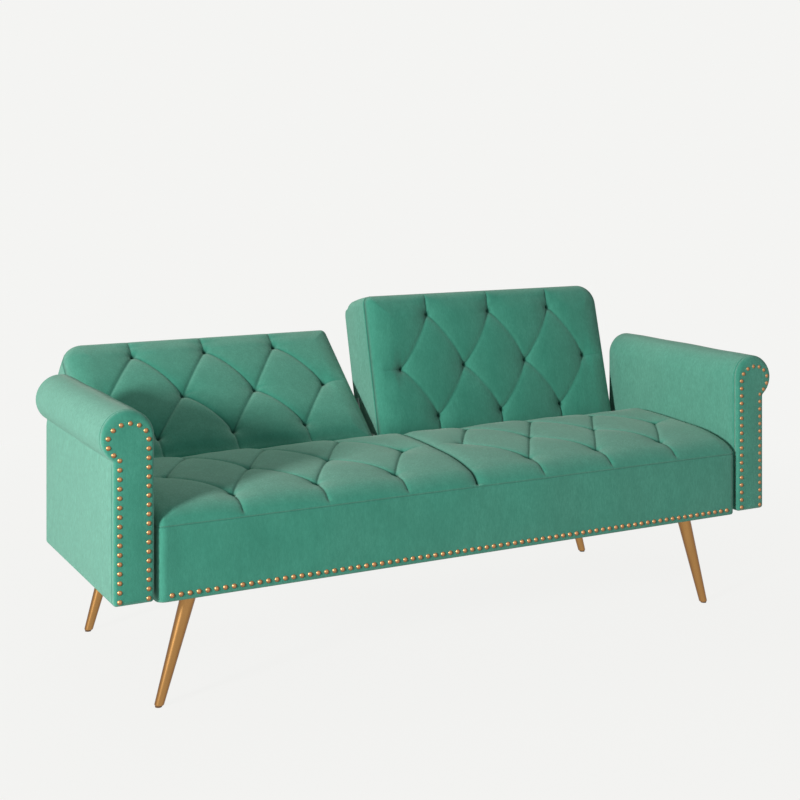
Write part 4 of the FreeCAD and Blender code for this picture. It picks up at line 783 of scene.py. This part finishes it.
class Finish:
    """A material's nodes, with short ways to add and join them."""

    def __init__(self, name):
        self.material = bpy.data.materials.new(name)
        self.material.use_nodes = True
        self.tree = self.material.node_tree
        self.shader = self.tree.nodes["Principled BSDF"]
        self.place = self.add("ShaderNodeTexCoord").outputs["Object"]

    def add(self, kind, **values):
        """A new node, with values for its inputs or its settings."""
        node = self.tree.nodes.new(kind)
        for name, value in values.items():
            if name in node.inputs:
                node.inputs[name].default_value = value
            else:
                setattr(node, name, value)
        return node

    def join(self, source, target):
        """Links an output to an input."""
        self.tree.links.new(source, target)

    def set(self, **values):
        """Sets the shader's own sockets."""
        for name, value in values.items():
            self.shader.inputs[name.replace("_", " ")].default_value = value

    def feed(self, tone, rough=None, normal=None):
        """Joins outputs to the shader's colour, roughness and normal."""
        for source, name in ((tone, "Base Color"), (rough, "Roughness"), (normal, "Normal")):
            if source is not None:
                self.join(source, self.shader.inputs[name])

    def noise(self, scale, detail=3.0, rough=0.55, stretch=(1.0, 1.0, 1.0)):
        """A noise over the piece, drawn out where its stretch is below one."""
        mapping = self.add("ShaderNodeMapping", Scale=stretch)
        self.join(self.place, mapping.inputs["Vector"])
        noise = self.add("ShaderNodeTexNoise", Scale=scale, Detail=detail, Roughness=rough)
        self.join(mapping.outputs["Vector"], noise.inputs["Vector"])
        return noise.outputs["Fac"]

    def spread(self, source, low, high, to_low=0.0, to_high=1.0):
        """A value's range, spread to another range."""
        node = self.add("ShaderNodeMapRange")
        for socket, value in zip(("From Min", "From Max", "To Min", "To Max"), (low, high, to_low, to_high)):
            node.inputs[socket].default_value = value
        self.join(source, node.inputs["Value"])
        return node.outputs["Result"]

    def mix(self, amount, first, second):
        """A colour between two colours or outputs."""
        node = self.add("ShaderNodeMix", data_type="RGBA")
        for socket, value in ((node.inputs[6], first), (node.inputs[7], second)):
            if isinstance(value, bpy.types.NodeSocket):
                self.join(value, socket)
            else:
                socket.default_value = (*value, 1.0)
        self.join(amount, node.inputs[0])
        return node.outputs[2]

    def bump(self, source, distance, strength=1.0, under=None):
        """A bump from a height, over another bump where there is one."""
        node = self.add("ShaderNodeBump", Strength=strength, Distance=distance)
        self.join(source, node.inputs["Height"])
        if under is not None:
            self.join(under, node.inputs["Normal"])
        return node.outputs["Normal"]


def velvet_finish(context):
    """Brushed green velvet: cloudy pile, short brush streaks, a painted sheen at low angles, painted shade
    in folds, pits and seams, and a fine pile bump.
    """
    looks = context.scene.sofa_finishes
    velvet = Finish("brushed_velvet")
    cloud = velvet.spread(velvet.noise(7.0, 5.0, 0.62), 0.32, 0.68)
    brushed = velvet.spread(velvet.noise(46.0, 4.0, 0.65, (1.0, 1.0, 0.4)), 0.36, 0.70)
    grain = velvet.spread(velvet.noise(250.0, 3.0, 0.75, (1.0, 1.0, 0.36)), 0.35, 0.65)
    tone = velvet.mix(cloud, tuple(looks.velvet), tuple(looks.velvet_pale))
    tone = velvet.mix(velvet.spread(brushed, 0.0, 1.0, 0.0, 0.40), tone, tuple(looks.velvet_dark))
    tone = velvet.mix(velvet.spread(grain, 0.0, 1.0, 0.0, 0.46), tone, tuple(looks.velvet_dark))
    # Painted sheen: a paler colour, varied by the grain and streaks, is painted into the base colour where
    # the surface is seen at a low angle.
    facing = velvet.add("ShaderNodeLayerWeight", Blend=0.5).outputs["Facing"]
    shade_sheen_and_wear = tuple(0.86 * c for c in looks.velvet_sheen)
    bloom = velvet.mix(grain, tuple(1.15 * c for c in looks.velvet_sheen), shade_sheen_and_wear)
    bloom = velvet.mix(velvet.spread(brushed, 0.0, 1.0, 0.0, 0.5), bloom, shade_sheen_and_wear)
    tone = velvet.mix(velvet.spread(facing, 0.12, 0.60, 0.0, looks.velvet_sheen_share), tone, bloom)
    # Painted shade: the fold_shade attribute darkens the colour towards a near black green in folds, pits
    # and seams.
    fold = velvet.add("ShaderNodeAttribute", attribute_name="fold_shade").outputs["Fac"]
    shadow = tuple(0.22 * c for c in looks.velvet_dark)
    tone = velvet.mix(velvet.spread(fold, 0.0, 1.0, 0.0, 0.8), tone, shadow)
    soft = velvet.bump(velvet.noise(38.0, 3.0), 0.0011, 0.4)
    pile = velvet.bump(velvet.noise(520.0, 2.0, 0.7), 0.0005, 0.7, soft)
    velvet.feed(tone, velvet.spread(cloud, 0.0, 1.0, 0.94, 0.80), pile)
    velvet.set(Sheen_Weight=0.10, Sheen_Roughness=0.35, Sheen_Tint=(1.0, 0.98, 0.90, 1.0))
    velvet.set(Specular_IOR_Level=0.10)
    return velvet.material


def metal_finish(name, tone, rough, scale, stretch=(1.0, 1.0, 1.0), rim=0.0):
    """A plated metal with slight cloudiness, fine wear and a painted darker reflection at the rim."""
    metal = Finish(name)
    cloud = metal.spread(metal.noise(scale, 3.0, 0.6, stretch), 0.3, 0.7)
    plated = metal.mix(cloud, tuple(0.82 * c for c in tone), tone)
    # Painted reflection: the colour darkens towards the rim, by the viewing angle.
    facing = metal.add("ShaderNodeLayerWeight", Blend=0.5).outputs["Facing"]
    deep = tuple(part * c for part, c in zip(RIM_REFLECTION_SHADE, tone))
    plated = metal.mix(metal.spread(facing, 0.12, 0.80, 0.0, rim), plated, deep)
    shade_sheen_and_wear = metal.spread(cloud, 0.0, 1.0, rough + 0.06, rough - 0.04)
    metal.feed(plated, shade_sheen_and_wear, metal.bump(metal.noise(scale * 9.0, 2.0), 0.0001, 0.35))
    metal.set(Metallic=1.0)
    return metal.material


def timber_finish():
    """Planed softwood with long grain."""
    wood = Finish("frame_timber")
    grain = wood.spread(wood.noise(22.0, 5.0, 0.62, (0.16, 1.0, 1.0)), 0.34, 0.66)
    tone = wood.mix(grain, (0.36, 0.22, 0.11), (0.56, 0.39, 0.22))
    wood.feed(tone, wood.spread(grain, 0.0, 1.0, 0.72, 0.56), wood.bump(grain, 0.0005, 0.5))
    return wood.material


def cloth_finish(name, dark, pale, scale, rough=0.9):
    """A plain cloth, foam, felt or rubber: two tones, a close texture and a bump."""
    cloth = Finish(name)
    cloud = cloth.spread(cloth.noise(14.0, 3.0), 0.3, 0.7)
    close = cloth.noise(scale, 2.0, 0.7)
    matt = cloth.spread(close, 0.2, 0.8, rough - 0.08, rough)
    cloth.feed(cloth.mix(cloud, dark, pale), matt, cloth.bump(close, 0.0006, 0.6))
    return cloth.material


def dress(nodes, material):
    """Gives carried-over frame nodes their finish."""
    for name in nodes:
        node = frame["nodes"][name]
        node.data.materials.clear()
        node.data.materials.append(material)


def finish_named(name, maker, *details):
    """The finish of that name, made the first time it is asked for."""
    return bpy.data.materials.get(name) or maker(*details)


def nodes_ending(*endings):
    """Frame nodes whose names end in one of the endings."""
    return [name for name in frame["nodes"] if name.endswith(endings)]


# Operators

HARDWARE = ("_screws", "_bolts", "_plate", "_bracket", "_pins", "_pawl", "_spacers", "_clips")
WRAPPED = ("rear_deck", "rear_rail", "left_side_rail", "right_side_rail")
PLAIN_CLOTHS = (
    ("_straps", "back_webbing", (0.30, 0.27, 0.21), (0.42, 0.38, 0.30), 420.0, 0.9),
    ("spring_pad", "pad_felt", (0.25, 0.25, 0.25), (0.38, 0.37, 0.35), 260.0, 0.9),
    ("rest_pads", "rest_rubber", (0.018, 0.018, 0.018), (0.030, 0.030, 0.031), 300.0, 0.75),
    ("foot_glides", "foot_plastic", (0.075, 0.034, 0.012), (0.105, 0.050, 0.018), 240.0, 0.5),
)
LAMPS = (
    ("key_lamp", (-6.4, -2.85, 2.2), (0.0, 0.0, 0.45), 0.9, 560.0, (1.0, 0.985, 0.96)),
    ("fill_lamp", (-0.2, -4.5, 1.9), (0.0, 0.0, 0.4), 2.4, 34.0, (0.98, 1.0, 1.0)),
    ("top_lamp", (-0.3, 1.6, 3.0), (0.0, 0.0, 0.4), 1.8, 34.0, (1.0, 0.97, 0.86)),
)
CAMERA_PLACE, CAMERA_HEADING = (-1.68881, -3.2059, 1.15781), -28.2
CAMERA_LENS, CAMERA_SENSOR, CAMERA_SHIFT = 62.88, 36.0, -0.300
FLOOR_HALF, AMBIENT = 30.0, 0.14


class SOFA_OT_seat(bpy.types.Operator):
    """Sews the long tufted seat"""

    bl_idname = "sofa.seat"
    bl_label = "Seat"

    def execute(self, context):
        points, faces, shade = build_seat(context)
        cover = finish_named("brushed_velvet", velvet_finish, context)
        sew_piece("seat_cushion", points, faces, cover, "base", ("seat_cover", "seat_foam"), shade)
        return {"FINISHED"}


class SOFA_OT_backs(bpy.types.Operator):
    """Sews the two tufted backs, each on its own hinge"""

    bl_idname = "sofa.backs"
    bl_label = "Backs"

    def execute(self, context):
        shapes = context.scene.sofa_shapes
        cover = finish_named("brushed_velvet", velvet_finish, context)
        for (name, side), lean in zip(SIDES, (shapes.left_lean, shapes.right_lean)):
            points, faces, shade = build_back(context, side, lean)
            replaced = (f"{name}_back_cover", f"{name}_back_foam")
            sew_piece(f"{name}_back_cushion", points, faces, cover, f"{name}_back", replaced, shade)
        return {"FINISHED"}


class SOFA_OT_arms(bpy.types.Operator):
    """Covers the two rolled arms and their facings"""

    bl_idname = "sofa.arms"
    bl_label = "Arms"

    def execute(self, context):
        cover = finish_named("brushed_velvet", velvet_finish, context)
        builds = (
            (build_arm, "arm_padding", ("arm_cover", "arm_foam")),
            (build_facing, "arm_front", ("arm_facing",)),
        )
        for maker, piece, nodes in builds:
            points, faces = maker(context)
            for name, side in SIDES:
                placed = points * np.array([side, 1.0, 1.0])
                replaced = [f"{name}_{node}" for node in nodes]
                sew_piece(f"{name}_{piece}", placed, faces, cover, "base", replaced)
        return {"FINISHED"}


class SOFA_OT_metal(bpy.types.Operator):
    """Finishes the nails, legs, hinges and screws"""

    bl_idname = "sofa.metal"
    bl_label = "Nails, legs and hinges"

    def execute(self, context):
        looks = context.scene.sofa_finishes
        # The nails and legs get a painted darker reflection at their rims; the zinc and spring steel get
        # none.
        copper = metal_finish("nail_copper", tuple(looks.copper), 0.40, 130.0, rim=0.7)
        gold = metal_finish("leg_gold", tuple(looks.gold), 0.24, 30.0, (1.0, 1.0, 0.2), 0.95)
        zinc = metal_finish("hinge_zinc", (0.56, 0.57, 0.57), 0.36, 70.0)
        spring = metal_finish("spring_wire_steel", (0.24, 0.25, 0.27), 0.40, 90.0)
        dress(nodes_ending("_nails"), copper)
        dress(nodes_ending("_leg"), gold)
        dress(nodes_ending(*HARDWARE), zinc)
        dress(nodes_ending("_springs"), spring)
        return {"FINISHED"}


class SOFA_OT_inside(bpy.types.Operator):
    """Finishes the timber frame, deck, webbing, pads and glides"""

    bl_idname = "sofa.inside"
    bl_label = "Frame and inside"

    def execute(self, context):
        dark = tuple(context.scene.sofa_finishes.velvet_dark)
        dress(nodes_ending("_rail", "_frame", "_blocks"), timber_finish())
        dress(WRAPPED, cloth_finish("deck_cloth", tuple(0.6 * c for c in dark), dark, 500.0))
        self.tack_dust_sheet()
        for ending, *details in PLAIN_CLOTHS:
            dress(nodes_ending(ending), cloth_finish(*details))
        return {"FINISHED"}

    @staticmethod
    def tack_dust_sheet():
        """Tacks the dust sheet below the frame."""
        points, faces, flat, area = build_dust_sheet()
        mesh = bpy.data.meshes.new("dust_sheet")
        mesh.from_pydata(points.tolist(), [], faces)
        loose = bmesh.new()
        loose.from_mesh(mesh)
        bmesh.ops.delete(loose, geom=[v for v in loose.verts if not v.link_faces], context="VERTS")
        loose.to_mesh(mesh)
        loose.free()
        mesh.shade_smooth()
        cloth = cloth_finish("dust_cover_cloth", (0.020, 0.021, 0.022), (0.034, 0.035, 0.036), 800.0)
        mesh.materials.append(cloth)
        sheet = bpy.data.objects.new("dust_sheet", mesh)
        bpy.context.scene.collection.objects.link(sheet)
        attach(sheet, "base")
        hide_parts("dust_cover")


class SOFA_OT_studio(bpy.types.Operator):
    """Sets the floor, backdrop, lamps and camera"""

    bl_idname = "sofa.studio"
    bl_label = "Studio"

    def execute(self, context):
        scene = context.scene
        scene.view_settings.view_transform = "Standard"
        paper = (*scene.sofa_finishes.studio, 1.0)
        self.lay_floor(scene, paper)
        self.hang_backdrop(scene, paper)
        for lamp in LAMPS:
            self.set_lamp(scene, *lamp)
        self.set_camera(scene)
        return {"FINISHED"}

    def lay_floor(self, scene, paper):
        """A wide paper floor, which keeps a faint shadow near the sofa."""
        corners = [(x * FLOOR_HALF, y * FLOOR_HALF, 0.0) for x, y in ((-1, -1), (1, -1), (1, 1), (-1, 1))]
        mesh = bpy.data.meshes.new("studio_floor")
        mesh.from_pydata(corners, [], [(0, 1, 2, 3)])
        floor = bpy.data.objects.new("studio_floor", mesh)
        scene.collection.objects.link(floor)
        paint = Finish("studio_paper")
        cloud = paint.spread(paint.noise(0.6, 2.0), 0.3, 0.7)
        paint.feed(paint.mix(cloud, (0.78, 0.78, 0.77), (0.82, 0.82, 0.81)))
        paint.set(Roughness=0.95, Specular_IOR_Level=0.1)
        lit, glow = paint.shader.outputs[0], paint.add("ShaderNodeEmission", Color=paper, Strength=1.0)
        far = paint.add("ShaderNodeVectorMath", operation="LENGTH")
        paint.join(paint.place, far.inputs[0])
        glowing = paint.spread(far.outputs["Value"], 0.9, 2.6, 0.96, 1.0)
        faint = self.either(paint.tree, glowing, lit, glow.outputs[0])
        chosen = self.either(paint.tree, self.seen_directly(paint.tree), lit, faint)
        paint.join(chosen, paint.tree.nodes["Material Output"].inputs["Surface"])
        mesh.materials.append(paint.material)

    def hang_backdrop(self, scene, paper):
        """A plain backdrop where it is seen directly, and a faint even light on the object."""
        world = bpy.data.worlds.new("studio_backdrop")
        scene.world = world
        world.use_nodes = True
        tree = world.node_tree
        ambient = tree.nodes["Background"]
        ambient.inputs["Color"].default_value = (1.0, 0.995, 0.98, 1.0)
        ambient.inputs["Strength"].default_value = AMBIENT
        backdrop = tree.nodes.new("ShaderNodeBackground")
        backdrop.inputs["Color"].default_value = paper
        chosen = self.either(tree, self.seen_directly(tree), ambient.outputs[0], backdrop.outputs[0])
        tree.links.new(chosen, tree.nodes["World Output"].inputs["Surface"])

    @staticmethod
    def either(tree, part, first, second):
        """A mix of two shaders by a share."""
        node = tree.nodes.new("ShaderNodeMixShader")
        for source, target in zip((part, first, second), node.inputs):
            tree.links.new(source, target)
        return node.outputs[0]

    @staticmethod
    def seen_directly(tree):
        """One for rays from the camera and those that metal or glass send on."""
        path = tree.nodes.new("ShaderNodeLightPath")
        total = path.outputs["Is Camera Ray"]
        for name in ("Is Glossy Ray", "Is Transmission Ray"):
            add = tree.nodes.new("ShaderNodeMath")
            add.operation, add.use_clamp = "ADD", True
            tree.links.new(total, add.inputs[0])
            tree.links.new(path.outputs[name], add.inputs[1])
            total = add.outputs[0]
        return total

    @staticmethod
    def set_lamp(scene, name, place, target, size, watts, tone):
        """A square soft lamp that faces the sofa."""
        light = bpy.data.lights.new(name, "AREA")
        light.size, light.energy, light.color = size, watts, tone
        lamp = bpy.data.objects.new(name, light)
        lamp.location = place
        aim = Vector(target) - Vector(place)
        lamp.rotation_euler = aim.to_track_quat("-Z", "Y").to_euler()
        scene.collection.objects.link(lamp)

    @staticmethod
    def set_camera(scene):
        """The photograph's level camera."""
        view = bpy.data.cameras.new("photo_camera")
        view.lens, view.sensor_width, view.sensor_fit = CAMERA_LENS, CAMERA_SENSOR, "HORIZONTAL"
        view.shift_y = CAMERA_SHIFT
        camera = bpy.data.objects.new("photo_camera", view)
        camera.location = CAMERA_PLACE
        camera.rotation_euler = (math.radians(90.0), 0.0, math.radians(CAMERA_HEADING))
        scene.collection.objects.link(camera)
        scene.camera = camera


class SOFA_PT_workshop(bpy.types.Panel):
    """Lists the sofa bed's pieces, sizes and colours"""

    bl_idname = "SOFA_PT_workshop"
    bl_label = "Sofa bed"
    bl_space_type = "VIEW_3D"
    bl_region_type = "UI"
    bl_category = "Sofa bed"

    def draw(self, context):
        for step in STEPS:
            self.layout.operator(step.bl_idname)
        for group in GROUPS:
            box = self.layout.box()
            values = getattr(context.scene, group)
            for name in values.__annotations__:
                box.prop(values, name)


STEPS = (SOFA_OT_seat, SOFA_OT_backs, SOFA_OT_arms, SOFA_OT_metal, SOFA_OT_inside, SOFA_OT_studio)
GROUPS = {"sofa_tufting": SofaTufting, "sofa_shapes": SofaShapes, "sofa_finishes": SofaFinishes}


def register():
    for entry in (*GROUPS.values(), *STEPS, SOFA_PT_workshop):
        bpy.utils.register_class(entry)
    for name, group in GROUPS.items():
        setattr(bpy.types.Scene, name, bpy.props.PointerProperty(type=group))


def unregister():
    for name in GROUPS:
        delattr(bpy.types.Scene, name)
    for entry in reversed((*GROUPS.values(), *STEPS, SOFA_PT_workshop)):
        bpy.utils.unregister_class(entry)


def main():
    register()
    bpy.ops.sofa.seat()
    bpy.ops.sofa.backs()
    bpy.ops.sofa.arms()
    bpy.ops.sofa.metal()
    bpy.ops.sofa.inside()
    bpy.ops.sofa.studio()
    bpy.context.view_layer.update()


if __name__ == "__main__":
    main()
